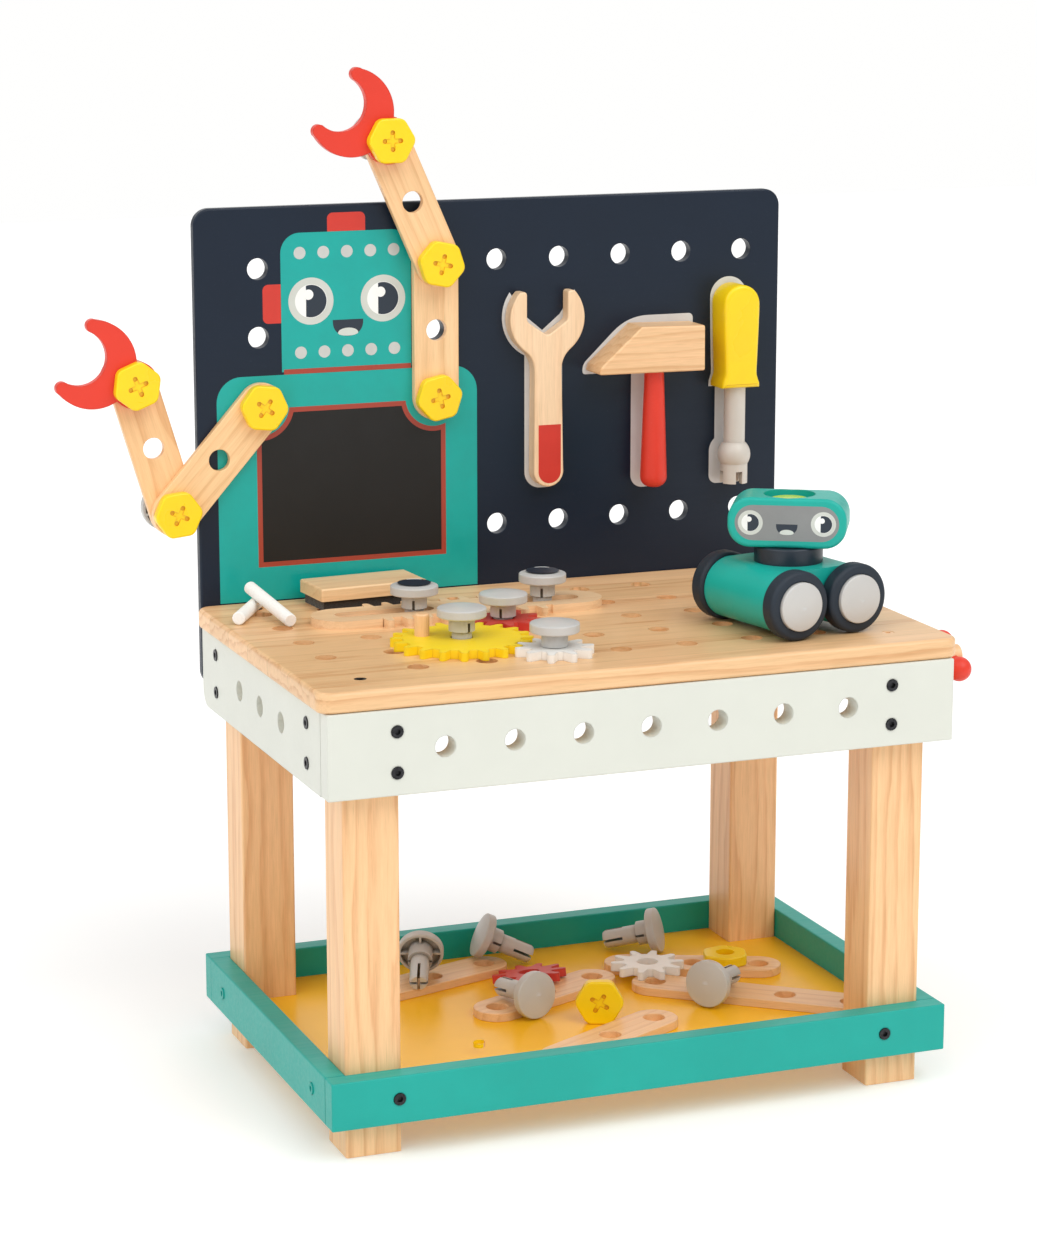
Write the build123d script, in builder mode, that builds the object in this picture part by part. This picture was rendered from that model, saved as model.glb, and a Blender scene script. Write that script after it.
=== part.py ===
"""Toy tool bench: table, tray, robot back panel, arms, tools, gears and loose pieces.

Lengths are in millimetres. While a piece is drawn, x = 0 is the bench's middle plane, y = 0 is
the front face of the bench with +Y towards the back panel, and z = 0 is the floor. Each piece is
then moved so that the origin is under the middle of the whole object's outline.
"""

import os
from math import asin, atan2, cos, degrees, hypot, pi, radians, sin

from build123d import *

os.makedirs("parts", exist_ok=True)

# Middle of the whole object's outline, in bench coordinates
outline_middle_x = -25.8
outline_middle_y = 156.4

# Bench frame
half_width = 220
board = 14.5
leg_width = 37.9
leg_depth = 37
leg_outer_x = 206
leg_front_y = board
leg_height = 299
apron_bottom_z = 243
apron_hole_z = 272.2
apron_corner_radius = 12
grid_pitch = 47.2
apron_hole_radius = 7
tray_bottom_z = 24.4
tray_top_z = 56.8
tray_depth = 292
floor_top_z = 35.5
floor_thickness = 5
leg_back_y = tray_depth - board - leg_depth

# Tabletop
top_half_width = 224.6
top_front_y = 0.5
top_back_y = 282.3
top_thickness = 13.8
table_z = leg_height + top_thickness
table_hole_radius = 7.2
table_rows = [51 + grid_pitch * row for row in range(5)]

# Back panel
panel_front_y = 282.5
panel_thickness = 8
panel_back_y = panel_front_y + panel_thickness
panel_half_width = 220.4
panel_bottom_z = 254
panel_top_z = 588.6
panel_corner_radius = 12
panel_hole_radius = 7.5
panel_pitch = 47.4
arm_hole_x = -47
arm_hole_z = 451.3
left_hole_x = -175.3

# Bolts that hold the frame
bolt_radius = 3
bolt_head_radius = 4
bolt_length = 30
bolt_head_depth = 3
bolt_proud = 0.8
bolt_sink = 1
bolt_play = 0.2

# Construction pieces: pegs, nuts and links
peg_head_radius = 16.5
peg_head_side = 6
peg_dome = 2
peg_hollow_radius = 14.3
peg_hollow_depth = 4.5
collar_radius = 8.8
collar_length = 9.3
shaft_radius = 6.7
shaft_length = 26
peg_slot_width = 2
peg_slot_length = 15
collar_slit_depth = 3.4
collar_slit_width = 1.8
collar_slit_length = 7
nut_radius = 17.6
nut_corner_radius = 6.5
nut_height = 8
nut_hole_radius = 6.8
nut_hole_depth = 6
nut_cross_length = 14.8
nut_cross_width = 3.3
nut_cross_depth = 0.6
nut_pit_depth = 1.3
link_width = 33
link_thickness = 6
link_pitch = 47.4
link_hole_radius = 7.5
layer_gap = 0.2

# Arms: where each pivot is and which way each length points, in degrees from +X, seen from the front
upper_arm_angle = 228.5
left_forearm_angle = 106.5
left_claw_angle = 152
right_forearm_angle = 113.8
right_claw_angle = 143.8

# Gears
gear_module = 4.45
gear_thickness = 6
gear_bore_radius = 7.5
tooth_tip_radius = 2.4
tooth_root_half = 3.7
big_teeth = 20
small_teeth = 10
crank_radius = 5
crank_length = 15
crank_reach = 27


def front_plane(y):
    """Plane facing the front, with local X along X and local Y along Z."""
    return Plane.XZ.offset(-y)


def along(origin, direction):
    """Plane at origin whose normal is the direction."""
    return Plane(origin=origin, z_dir=direction)


def polar(x, z, length, angle):
    """Point at a length and angle from x, z in the front view."""
    return x + length * cos(radians(angle)), z + length * sin(radians(angle))


# ---------------------------------------------------------------- bolts

inside_front = (0, 1, 0)
front_bolts = [((side * 173.8, 0, z), inside_front) for side in (-1, 1) for z in (258, 284.7)]
tray_front_bolts = [((side * 174.2, 0, 41.3), inside_front) for side in (-1, 1)]
tray_back_bolts = [((side * 174.2, tray_depth, 41.3), (0, -1, 0)) for side in (-1, 1)]


def side_bolts(side, heights):
    """Bolts that go into the outer face on one side, at both legs."""
    return [((side * half_width, y, z), (-side, 0, 0)) for y in (43, 249) for z in heights]


apron_side_bolts = {side: side_bolts(side, (258.3, 284.8)) for side in (-1, 1)}
tray_side_bolts = {side: side_bolts(side, (40.0,)) for side in (-1, 1)}
top_bolts = [((x, y, table_z - bolt_sink), (0, 0, -1)) for x in (-187, 187) for y in (33, 259.4)]
panel_bolts = [((x, panel_back_y, z), (0, -1, 0)) for x in (-187, 187) for z in (266, 281)]
all_bolts = (
    front_bolts
    + tray_front_bolts
    + tray_back_bolts
    + apron_side_bolts[-1]
    + apron_side_bolts[1]
    + tray_side_bolts[-1]
    + tray_side_bolts[1]
    + top_bolts
    + panel_bolts
)
lowest = (Align.CENTER, Align.CENTER, Align.MIN)


def bolt_depth(inward):
    """Length of a bolt: those along Y and Z stop short of the ones they would meet."""
    return bolt_length - 5 if inward[1] == 0 else bolt_length


def drill(bolts):
    """Cuts the bolts' holes and the recesses for their heads out of the open part."""
    for place, inward in bolts:
        with Locations(along(place, inward)):
            Cylinder(bolt_radius + bolt_play, bolt_depth(inward) + 1, align=lowest, mode=Mode.SUBTRACT)
            with Locations((0, 0, -bolt_sink)):
                Cylinder(
                    bolt_head_radius + bolt_play,
                    bolt_head_depth + bolt_sink,
                    align=lowest,
                    mode=Mode.SUBTRACT,
                )


with BuildPart() as frame_bolts:
    for place, inward in all_bolts:
        with Locations(along(place, inward)):
            with Locations((0, 0, bolt_head_depth)):
                Cylinder(bolt_radius, bolt_depth(inward) - bolt_head_depth, align=lowest)
            with Locations((0, 0, -bolt_proud)):
                Cylinder(bolt_head_radius, bolt_head_depth + bolt_proud, align=lowest)
                Cylinder(1.9, 2, align=lowest, mode=Mode.SUBTRACT)


# ---------------------------------------------------------------- bench frame


def make_leg(side, y_front, bolts):
    """Square leg with softened edges, on the left (-1) or the right (1)."""
    middle_x = side * (leg_outer_x - leg_width / 2)
    with BuildPart() as leg:
        with BuildSketch():
            with Locations((middle_x, y_front + leg_depth / 2)):
                RectangleRounded(leg_width, leg_depth, 1.5)
        extrude(amount=leg_height)
        drill(bolts)
    return leg


def near(bolts, side):
    """The bolts on one side of the middle plane."""
    return [bolt for bolt in bolts if bolt[0][0] * side > 0]


def leg_bolts(side, at_front):
    """Every bolt that runs into one leg."""
    ends = front_bolts + tray_front_bolts if at_front else tray_back_bolts + panel_bolts
    ends = near(ends, side)
    sides = apron_side_bolts[side] + tray_side_bolts[side] + near(top_bolts, side)
    return ends + [bolt for bolt in sides if (bolt[0][1] < 100) == at_front]


leg_front_left = make_leg(-1, leg_front_y, leg_bolts(-1, True))
leg_front_right = make_leg(1, leg_front_y, leg_bolts(1, True))
leg_back_left = make_leg(-1, leg_back_y, leg_bolts(-1, False))
leg_back_right = make_leg(1, leg_back_y, leg_bolts(1, False))

with BuildPart() as apron_front:
    with BuildSketch(front_plane(board)) as apron_front_face:
        with Locations((0, (apron_bottom_z + leg_height) / 2)):
            Rectangle(2 * half_width, leg_height - apron_bottom_z)
    extrude(amount=board)
    fillet(apron_front.edges().filter_by(GeomType.LINE), 1)
    with BuildSketch(front_plane(board)):
        with Locations((0, apron_hole_z)):
            with GridLocations(grid_pitch, 1, 7, 1):
                Circle(apron_hole_radius)
    extrude(amount=board, mode=Mode.SUBTRACT)
    drill(front_bolts)

vise_y = 79.8
vise_z = 280.8
vise_screw_radius = 6


def make_side_apron(side):
    """Board under a side edge of the tabletop, with three holes and rounded lower corners."""
    face = Plane(origin=(side * half_width, 0, 0), x_dir=(0, 1, 0), z_dir=(1, 0, 0))
    inward = -side * board
    back_y = panel_front_y - 0.2
    with BuildPart() as apron:
        with BuildSketch(face):
            with Locations(((board + back_y) / 2, (apron_bottom_z + leg_height) / 2)):
                Rectangle(back_y - board, leg_height - apron_bottom_z)
        extrude(amount=inward + side * 0.5)
        lower = apron.edges().filter_by(Axis.X).group_by(Axis.Z)[0].sort_by(Axis.Y)[-1]
        fillet(lower, apron_corner_radius)
        with BuildSketch(face):
            with Locations((table_rows[2] - grid_pitch, 272)):
                with Locations((0, 0), (grid_pitch, 0), (2 * grid_pitch, 0)):
                    Circle(apron_hole_radius)
            if side == 1:
                with Locations((vise_y, vise_z)):
                    Circle(vise_screw_radius + 0.4)
        extrude(amount=inward, mode=Mode.SUBTRACT)
        drill(apron_side_bolts[side])
    return apron


apron_left = make_side_apron(-1)
apron_right = make_side_apron(1)

with BuildPart() as back_rail:
    with BuildSketch(front_plane(panel_front_y)):
        with Locations((0, (panel_bottom_z + leg_height) / 2)):
            Rectangle(2 * leg_outer_x - 2, leg_height - panel_bottom_z)
    extrude(amount=panel_front_y - leg_back_y - leg_depth)
    drill(panel_bolts)

with BuildPart() as tabletop:
    with BuildSketch(Plane.XY.offset(leg_height)):
        with Locations((0, (top_front_y + top_back_y) / 2)):
            RectangleRounded(2 * top_half_width, top_back_y - top_front_y, 10)
    extrude(amount=top_thickness)
    flat_faces = tabletop.faces().filter_by(Axis.Z)
    fillet(flat_faces.edges(), 3)
    with BuildSketch(Plane.XY.offset(leg_height)):
        for row_y in table_rows:
            columns = 7 if row_y == table_rows[0] else 9
            with Locations((0, row_y)):
                with GridLocations(grid_pitch, 1, columns, 1):
                    Circle(table_hole_radius)
    extrude(amount=top_thickness, mode=Mode.SUBTRACT)
    drill(top_bolts)

with BuildPart() as back_panel:
    with BuildSketch(front_plane(panel_back_y)):
        with Locations((0, (panel_bottom_z + panel_top_z) / 2)):
            RectangleRounded(2 * panel_half_width, panel_top_z - panel_bottom_z, panel_corner_radius)
    extrude(amount=panel_thickness)
    fillet(back_panel.faces().filter_by(Axis.Y).edges(), 1.5)
    with BuildSketch(front_plane(panel_back_y)):
        right_holes = [(arm_hole_x + panel_pitch * step, arm_hole_z + 2 * panel_pitch) for step in range(1, 6)]
        low_holes = [(x, z - 4 * panel_pitch) for x, z in right_holes]
        side_columns = [(x, arm_hole_z + panel_pitch * step) for x in (arm_hole_x, left_hole_x) for step in range(3)]
        with Locations(right_holes + low_holes + side_columns):
            Circle(panel_hole_radius)
    extrude(amount=panel_thickness, mode=Mode.SUBTRACT)
    drill(panel_bolts)


def make_tray_end(y_front, bolts):
    """Front or back board of the tray, over the ends of the side boards."""
    with BuildPart() as end_board:
        with BuildSketch(Plane.XY.offset(tray_bottom_z)):
            with Locations((0, y_front + board / 2)):
                Rectangle(2 * half_width, board)
        extrude(amount=tray_top_z - tray_bottom_z)
        fillet(end_board.edges(), 1)
        drill(bolts)
    return end_board


def make_tray_side(side):
    """Side board of the tray, between the front and back boards."""
    width = half_width - leg_outer_x
    length = tray_depth - 2 * board
    with BuildPart() as side_board:
        with BuildSketch(Plane.XY.offset(tray_bottom_z)):
            with Locations((side * (half_width - width / 2), tray_depth / 2)):
                Rectangle(width, length)
        extrude(amount=tray_top_z - tray_bottom_z)
        fillet(side_board.edges().filter_by(Axis.Y), 1)
        drill(tray_side_bolts[side])
    return side_board


tray_front = make_tray_end(0, tray_front_bolts)
tray_back = make_tray_end(tray_depth - board, tray_back_bolts)
tray_left = make_tray_side(-1)
tray_right = make_tray_side(1)

with BuildPart() as tray_floor:
    with BuildSketch(Plane.XY.offset(floor_top_z - floor_thickness)):
        with Locations((0, tray_depth / 2)):
            Rectangle(2 * leg_outer_x, tray_depth - 2 * board)
        leg_middle_x = leg_outer_x - leg_width / 2
        front_middle_y = leg_front_y + leg_depth / 2
        back_middle_y = leg_back_y + leg_depth / 2
        for x in (-leg_middle_x, leg_middle_x):
            with Locations((x, front_middle_y), (x, back_middle_y)):
                Rectangle(leg_width, leg_depth, mode=Mode.SUBTRACT)
    extrude(amount=floor_thickness)


# ---------------------------------------------------------------- pegs, nuts and links


def make_peg():
    """Push-in peg along Z: split shaft below z = 0, collar and wide hollow head above."""
    head_z = collar_length
    hollow_z = head_z + peg_hollow_depth
    with BuildPart() as peg:
        with BuildSketch(Plane.XZ) as half:
            with BuildLine():
                Polyline(
                    (0, head_z + peg_head_side + peg_dome),
                    (0, -shaft_length),
                    (shaft_radius - 1, -shaft_length),
                    (shaft_radius, -shaft_length + 2),
                    (shaft_radius, 0),
                    (collar_radius, 0),
                    (collar_radius, hollow_z),
                    (peg_hollow_radius, hollow_z),
                    (peg_hollow_radius, head_z),
                    (peg_head_radius, head_z),
                    (peg_head_radius, head_z + peg_head_side),
                )
                dome_start = (peg_head_radius, head_z + peg_head_side)
                dome_end = (0, head_z + peg_head_side + peg_dome)
                TangentArc(dome_end, dome_start, tangent=(1, 0))
            make_face()
            rim = half.vertices().filter_by(lambda v: v.X > peg_head_radius - 0.01)
            fillet(rim, 1)
        revolve(axis=Axis.Z)
        with BuildSketch(Plane.XY.offset(head_z)):
            rib_length = peg_hollow_radius - collar_radius + 1
            with PolarLocations((peg_hollow_radius + collar_radius) / 2, 4):
                Rectangle(rib_length, 1.6)
        extrude(amount=peg_hollow_depth)
        with BuildSketch(Plane.XY.offset(-shaft_length)):
            Rectangle(peg_slot_width, 2 * shaft_radius)
            Rectangle(2 * shaft_radius, peg_slot_width)
        extrude(amount=peg_slot_length, mode=Mode.SUBTRACT)
        with BuildSketch(Plane.XY.offset(-1)):
            with PolarLocations(collar_radius, 2):
                Rectangle(2 * collar_slit_depth, collar_slit_width)
        extrude(amount=collar_slit_length, mode=Mode.SUBTRACT)
    return peg.part


def make_nut():
    """Rounded six-sided nut on Z: blind hole from z = 0, cross recess in the far face."""
    with BuildPart() as nut:
        with BuildSketch() as outline:
            RegularPolygon(nut_radius, 6)
            fillet(outline.vertices(), nut_corner_radius)
        extrude(amount=nut_height)
        fillet(nut.faces().filter_by(Axis.Z).edges(), 1.4)
        with BuildSketch():
            Circle(nut_hole_radius)
        extrude(amount=nut_hole_depth, mode=Mode.SUBTRACT)
        with BuildSketch(Plane.XY.offset(nut_height)):
            SlotOverall(nut_cross_length, nut_cross_width)
            SlotOverall(nut_cross_length, nut_cross_width, rotation=90)
        extrude(amount=-nut_cross_depth, mode=Mode.SUBTRACT)
        with BuildSketch(Plane.XY.offset(nut_height)):
            with PolarLocations((nut_cross_length - nut_cross_width) / 2, 4):
                Circle(nut_cross_width / 2)
        extrude(amount=-nut_pit_depth, mode=Mode.SUBTRACT)
    return nut.part


def make_link(holes):
    """Flat link on XY with its first hole at the origin and the others along +X."""
    reach = (holes - 1) * link_pitch
    with BuildPart() as link:
        with BuildSketch():
            with Locations((reach / 2, 0)):
                SlotCenterToCenter(reach, link_width)
            with Locations([(link_pitch * step, 0) for step in range(holes)]):
                Circle(link_hole_radius, mode=Mode.SUBTRACT)
        extrude(amount=link_thickness)
        chamfer(link.faces().filter_by(Axis.Z).edges(), 0.4)
    return link.part


peg_solid = make_peg()
nut_solid = make_nut()
three_hole_link = make_link(3)
four_hole_link = make_link(4)


def facing_front(x, y_back, z, angle=0):
    """Plane at y_back whose normal is -Y and whose local X is turned by the angle."""
    return Plane(
        origin=(x, y_back, z),
        x_dir=(cos(radians(angle)), 0, sin(radians(angle))),
        z_dir=(0, -1, 0),
    )


def place(solid, planes):
    """One part holding a copy of the solid on each plane."""
    with BuildPart() as group:
        for plane in planes:
            add(plane.location * solid)
    return group


# Layers in front of the panel, from the panel outwards
first_back_y = panel_front_y - layer_gap
second_back_y = first_back_y - link_thickness - layer_gap
third_back_y = second_back_y - link_thickness - 0.1
nut_third_back_y = third_back_y - link_thickness - layer_gap
far_collar_y = 296.3
near_collar_y = panel_back_y + 0.1
wrist_collar_y = nut_third_back_y - nut_hole_depth + shaft_length + 0.1
peg_turn = 20


def peg_behind(x, collar_y, z):
    """Plane of a peg pushed in from behind: its head points to +Y."""
    turn = radians(peg_turn)
    return Plane(origin=(x, collar_y, z), x_dir=(cos(turn), 0, sin(turn)), z_dir=(0, 1, 0))


right_elbow_x = arm_hole_x
right_elbow_z = arm_hole_z + 2 * link_pitch
elbow_x, elbow_z = polar(left_hole_x, arm_hole_z, 2 * link_pitch, upper_arm_angle)
left_wrist_x, left_wrist_z = polar(elbow_x, elbow_z, 2 * link_pitch, left_forearm_angle)
right_wrist_x, right_wrist_z = polar(right_elbow_x, right_elbow_z, 2 * link_pitch, right_forearm_angle)

panel_pegs = place(
    peg_solid,
    [
        peg_behind(left_hole_x, far_collar_y, arm_hole_z),
        peg_behind(arm_hole_x, far_collar_y, arm_hole_z),
        peg_behind(right_elbow_x, near_collar_y, right_elbow_z),
    ],
)
panel_nuts = place(
    nut_solid,
    [
        facing_front(left_hole_x, second_back_y, arm_hole_z, 54),
        facing_front(arm_hole_x, second_back_y, arm_hole_z, 12),
        facing_front(right_elbow_x, third_back_y, right_elbow_z, -12),
    ],
)
right_lower_link = place(three_hole_link, [facing_front(arm_hole_x, first_back_y, arm_hole_z, 90)])

# Left arm: the upper arm is in front of the panel, and the forearm is one layer behind it
forearm_back_y = first_back_y + layer_gap + link_thickness
left_upper_arm = place(
    three_hole_link, [facing_front(left_hole_x, first_back_y, arm_hole_z, upper_arm_angle)]
)
left_forearm = place(
    three_hole_link, [facing_front(elbow_x, forearm_back_y, elbow_z, left_forearm_angle)]
)
left_arm_pegs = place(
    peg_solid,
    [
        peg_behind(elbow_x, far_collar_y, elbow_z),
        peg_behind(left_wrist_x, far_collar_y, left_wrist_z),
    ],
)
left_arm_nuts = place(
    nut_solid,
    [
        facing_front(elbow_x, second_back_y, elbow_z, 66),
        facing_front(left_wrist_x, second_back_y, left_wrist_z, 22),
    ],
)

right_forearm = place(
    three_hole_link, [facing_front(right_elbow_x, second_back_y, right_elbow_z, right_forearm_angle)]
)
right_wrist_peg = place(peg_solid, [peg_behind(right_wrist_x, wrist_collar_y, right_wrist_z)])
right_wrist_nut = place(
    nut_solid, [facing_front(right_wrist_x, nut_third_back_y, right_wrist_z, 1)]
)

claw_outer_radius = 30.5
claw_inner_radius = 19
claw_outer_reach = 33
claw_inner_reach = 43.4
claw_tip_reach = 44.5
claw_tip_across = 23.6
claw_tip_radius = 4.7


def make_claw():
    """Crescent gripper on XY: boss with its hole at the origin, open jaws towards +X."""
    with BuildPart() as claw:
        with BuildSketch():
            with Locations((claw_outer_reach, 0)):
                Circle(claw_outer_radius)
            with Locations((claw_tip_reach + 50, 0)):
                Rectangle(100, 100, mode=Mode.SUBTRACT)
            with Locations((claw_inner_reach, 0)):
                Circle(claw_inner_radius, mode=Mode.SUBTRACT)
            with Locations((claw_tip_reach, claw_tip_across), (claw_tip_reach, -claw_tip_across)):
                Circle(claw_tip_radius)
            Circle(link_width / 2)
            Circle(link_hole_radius, mode=Mode.SUBTRACT)
        extrude(amount=link_thickness)
    return claw.part


claw_solid = make_claw()
left_claw = place(
    claw_solid, [facing_front(left_wrist_x, first_back_y, left_wrist_z, left_claw_angle)]
)
right_claw = place(
    claw_solid, [facing_front(right_wrist_x, third_back_y, right_wrist_z, right_claw_angle)]
)


# ---------------------------------------------------------------- hand tools on the panel

wrench_x = 35
wrench_head_z = 503.5
wrench_head_radius = 28.4
wrench_jaw_half = 15.6
wrench_thickness = 11.3
wrench_back_y = panel_front_y - layer_gap
with BuildPart() as wrench:
    with BuildSketch(front_plane(wrench_back_y)) as wrench_face:
        with Locations((wrench_x, wrench_head_z)):
            Circle(wrench_head_radius)
        Polygon((25.2, 490), (24.6, 394), (47.2, 394), (45.4, 490), align=None)
        with Locations((35.9, 394)):
            Circle(11.4)
        neck = wrench_face.vertices().filter_by(lambda v: 470 < v.Y < 485)
        fillet(neck, 18)
        Polygon(
            (wrench_x - wrench_jaw_half, 540),
            (wrench_x - wrench_jaw_half, 502),
            (wrench_x, 491.4),
            (wrench_x + wrench_jaw_half, 502),
            (wrench_x + wrench_jaw_half, 540),
            align=None,
            mode=Mode.SUBTRACT,
        )
        with Locations((wrench_x, 543)):
            Rectangle(80, 40, mode=Mode.SUBTRACT)
        tips = wrench_face.vertices().filter_by(lambda v: v.Y > 520)
        fillet(tips, 2.2)
        jaw_corners = wrench_face.vertices().filter_by(lambda v: 490 < v.Y < 503)
        fillet(jaw_corners, 4)
    extrude(amount=wrench_thickness)
    fillet(wrench.faces().filter_by(Axis.Y).edges(), 1.2)

hammer_x = 116
hammer_y = 268
hammer_head_depth = 28
hammer_spigot_radius = 6
with BuildPart() as hammer_head:
    with BuildSketch(front_plane(panel_front_y - layer_gap)):
        Polygon((68, 463.4), (69.5, 469), (101, 496.6), (150, 495.6), (150.2, 462.8), align=None)
    extrude(amount=hammer_head_depth)
    fillet(hammer_head.edges(), 1.5)
    with Locations((hammer_x, hammer_y, 462)):
        Cylinder(hammer_spigot_radius + 0.1, 24, align=lowest, mode=Mode.SUBTRACT)

with BuildPart() as hammer_handle:
    with BuildSketch(Plane.XZ.offset(-hammer_y)):
        with BuildLine():
            Polyline(
                (hammer_x, 484),
                (hammer_x + hammer_spigot_radius, 484),
                (hammer_x + hammer_spigot_radius, 462.6),
                (hammer_x + 7, 462.6),
                (hammer_x + 9.7, 386),
            )
            Spline(
                (hammer_x + 9.7, 386),
                (hammer_x + 7.4, 380.2),
                (hammer_x, 378),
                tangents=[(0, -1), (-1, 0)],
            )
            Line((hammer_x, 378), (hammer_x, 484))
        make_face()
    revolve(axis=Axis((hammer_x, hammer_y, 0), (0, 0, 1)))

driver_x = 180.6
driver_y = 269.6
driver_grip_bottom_z = 448
driver_socket_radius = 6
grip_half_depth = 12.1
# Heights above the grip's lower end and half widths of the square grip
grip_sections = [(0, 15.2), (2.5, 15.4), (9, 12.7), (30, 12.9), (58, 13.8), (69, 12.8), (74.5, 8.5)]
with BuildPart() as screwdriver_handle:
    for height, half_wide in grip_sections:
        with BuildSketch(Plane((driver_x, driver_y, driver_grip_bottom_z + height))):
            deep = 2 * min(half_wide, grip_half_depth)
            RectangleRounded(2 * half_wide, deep, 0.38 * half_wide)
    loft()
    with Locations((driver_x, driver_y, driver_grip_bottom_z)):
        Cylinder(driver_socket_radius + 0.1, 26, align=lowest, mode=Mode.SUBTRACT)

driver_shaft_radius = 7.8
driver_ball_radius = 12
driver_ball_z = 398
driver_tip_radius = 10
driver_tip_z = 377
neck_drop = (driver_ball_radius**2 - driver_shaft_radius**2) ** 0.5
tip_drop = (driver_ball_radius**2 - driver_tip_radius**2) ** 0.5
with BuildPart() as screwdriver_shaft:
    with BuildSketch(front_plane(driver_y)) as half_shaft:
        with BuildLine():
            Polyline(
                (driver_x, driver_tip_z),
                (driver_x + driver_tip_radius, driver_tip_z),
                (driver_x + driver_tip_radius, driver_ball_z - tip_drop),
            )
            ThreePointArc(
                (driver_x + driver_tip_radius, driver_ball_z - tip_drop),
                (driver_x + driver_ball_radius, driver_ball_z),
                (driver_x + driver_shaft_radius, driver_ball_z + neck_drop),
            )
            Polyline(
                (driver_x + driver_shaft_radius, driver_ball_z + neck_drop),
                (driver_x + driver_shaft_radius, driver_grip_bottom_z - 0.1),
                (driver_x + driver_socket_radius, driver_grip_bottom_z - 0.1),
                (driver_x + driver_socket_radius, 473),
                (driver_x, 473),
                (driver_x, driver_tip_z),
            )
        make_face()
    revolve(axis=Axis((driver_x, driver_y, 0), (0, 0, 1)))
    with Locations((driver_x, driver_y, driver_tip_z)):
        Cylinder(5, 12, align=lowest, mode=Mode.SUBTRACT)
        Box(5, 30, 9, align=lowest, mode=Mode.SUBTRACT)
        Box(30, 5, 9, align=lowest, mode=Mode.SUBTRACT)


# ---------------------------------------------------------------- gears and rack

big_pitch_radius = gear_module * big_teeth / 2
small_pitch_radius = gear_module * small_teeth / 2
big_gear_x = -2 * grid_pitch
big_gear_y = table_rows[1]
small_gear_x = -grid_pitch
red_gear_y = table_rows[2]
white_gear_y = table_rows[0]


def make_gear(teeth, phase):
    """Flat gear on XY with round-tipped teeth, one of them at the phase angle."""
    pitch_radius = gear_module * teeth / 2
    root_radius = pitch_radius - 5
    tip_radius = pitch_radius + (3 if teeth == big_teeth else 4.2)
    with BuildPart() as gear:
        with BuildSketch():
            Circle(root_radius)
            with PolarLocations(0, teeth, start_angle=phase):
                Polygon(
                    (root_radius - 1, -tooth_root_half),
                    (tip_radius - tooth_tip_radius, -tooth_tip_radius),
                    (tip_radius - tooth_tip_radius, tooth_tip_radius),
                    (root_radius - 1, tooth_root_half),
                    align=None,
                )
            with PolarLocations(tip_radius - tooth_tip_radius, teeth, start_angle=phase):
                Circle(tooth_tip_radius)
            Circle(gear_bore_radius, mode=Mode.SUBTRACT)
        extrude(amount=gear_thickness)
    return gear.part


def crank_socket(x, y):
    """Cuts the blind socket for a crank knob out of the open part."""
    with Locations((x, y, gear_thickness / 2)):
        Cylinder(crank_radius - 1 + 0.1, gear_thickness, align=lowest, mode=Mode.SUBTRACT)


def make_knob():
    """Wooden crank knob standing on a gear's top face, with a spigot below it."""
    with BuildPart() as knob:
        with Locations((0, 0, gear_thickness)):
            Cylinder(crank_radius, crank_length, align=lowest)
        fillet(knob.edges().group_by(Axis.Z)[-1], 1.5)
        with Locations((0, 0, gear_thickness / 2)):
            Cylinder(crank_radius - 1, gear_thickness / 2, align=lowest)
    return knob.part


knob_solid = make_knob()
small_gear_tooth_to_big = 225
table_crank = (crank_reach * cos(radians(148)), crank_reach * sin(radians(148)))
tray_crank = (crank_reach * cos(radians(47)), crank_reach * sin(radians(47)))


def make_big_gear(crank):
    """Twenty-tooth gear with the socket for its crank knob."""
    with BuildPart() as gear:
        add(make_gear(big_teeth, 0))
        crank_socket(*crank)
    return gear.part


drive_gear = place(make_big_gear(table_crank), [Plane((big_gear_x, big_gear_y, table_z))])
crank_knob = place(
    knob_solid, [Plane((big_gear_x + table_crank[0], big_gear_y + table_crank[1], table_z))]
)
red_gear = place(make_gear(small_teeth, 225), [Plane((small_gear_x, red_gear_y, table_z))])
white_gear = place(make_gear(small_teeth, 135), [Plane((small_gear_x, white_gear_y, table_z))])

rack_middle_x = -62.5
rack_y = table_rows[3]
rack_length = 211
rack_end_radius = 21.5
rack_root_y = 19.1
rack_tip_y = 29.3
rack_toothed_half = 62
rack_slot_start = 18
rack_slot_end = 89
tooth_pitch = pi * gear_module
# A gap of the rack faces the red gear's tooth that is 9 degrees off the mesh line
rack_gap_x = small_gear_x + small_pitch_radius * radians(9)
first_tooth_x = rack_gap_x + tooth_pitch / 2 - 6 * tooth_pitch
rack_teeth = [first_tooth_x + tooth_pitch * step for step in range(9)]

with BuildPart() as rack:
    with BuildSketch(Plane.XY.offset(table_z)):
        with Locations((rack_middle_x, rack_y)):
            SlotOverall(rack_length, 2 * rack_end_radius)
            edge = rack_end_radius - rack_root_y + 2
            for side in (-1, 1):
                with Locations((0, side * (rack_root_y + edge / 2))):
                    Rectangle(2 * rack_toothed_half, edge, mode=Mode.SUBTRACT)
        for side in (-1, 1):
            tip_y = rack_tip_y - tooth_tip_radius
            for x in rack_teeth:
                Polygon(
                    (x - tooth_root_half, rack_y + side * (rack_root_y - 1)),
                    (x + tooth_root_half, rack_y + side * (rack_root_y - 1)),
                    (x + tooth_tip_radius, rack_y + side * tip_y),
                    (x - tooth_tip_radius, rack_y + side * tip_y),
                    align=None,
                )
                with Locations((x, rack_y + side * tip_y)):
                    Circle(tooth_tip_radius)
        slot_length = rack_slot_end - rack_slot_start
        slot_middle = (rack_slot_start + rack_slot_end) / 2
        with Locations((rack_middle_x - slot_middle, rack_y), (rack_middle_x + slot_middle, rack_y)):
            SlotOverall(slot_length, 2 * table_hole_radius, mode=Mode.SUBTRACT)
    extrude(amount=link_thickness)

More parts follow.
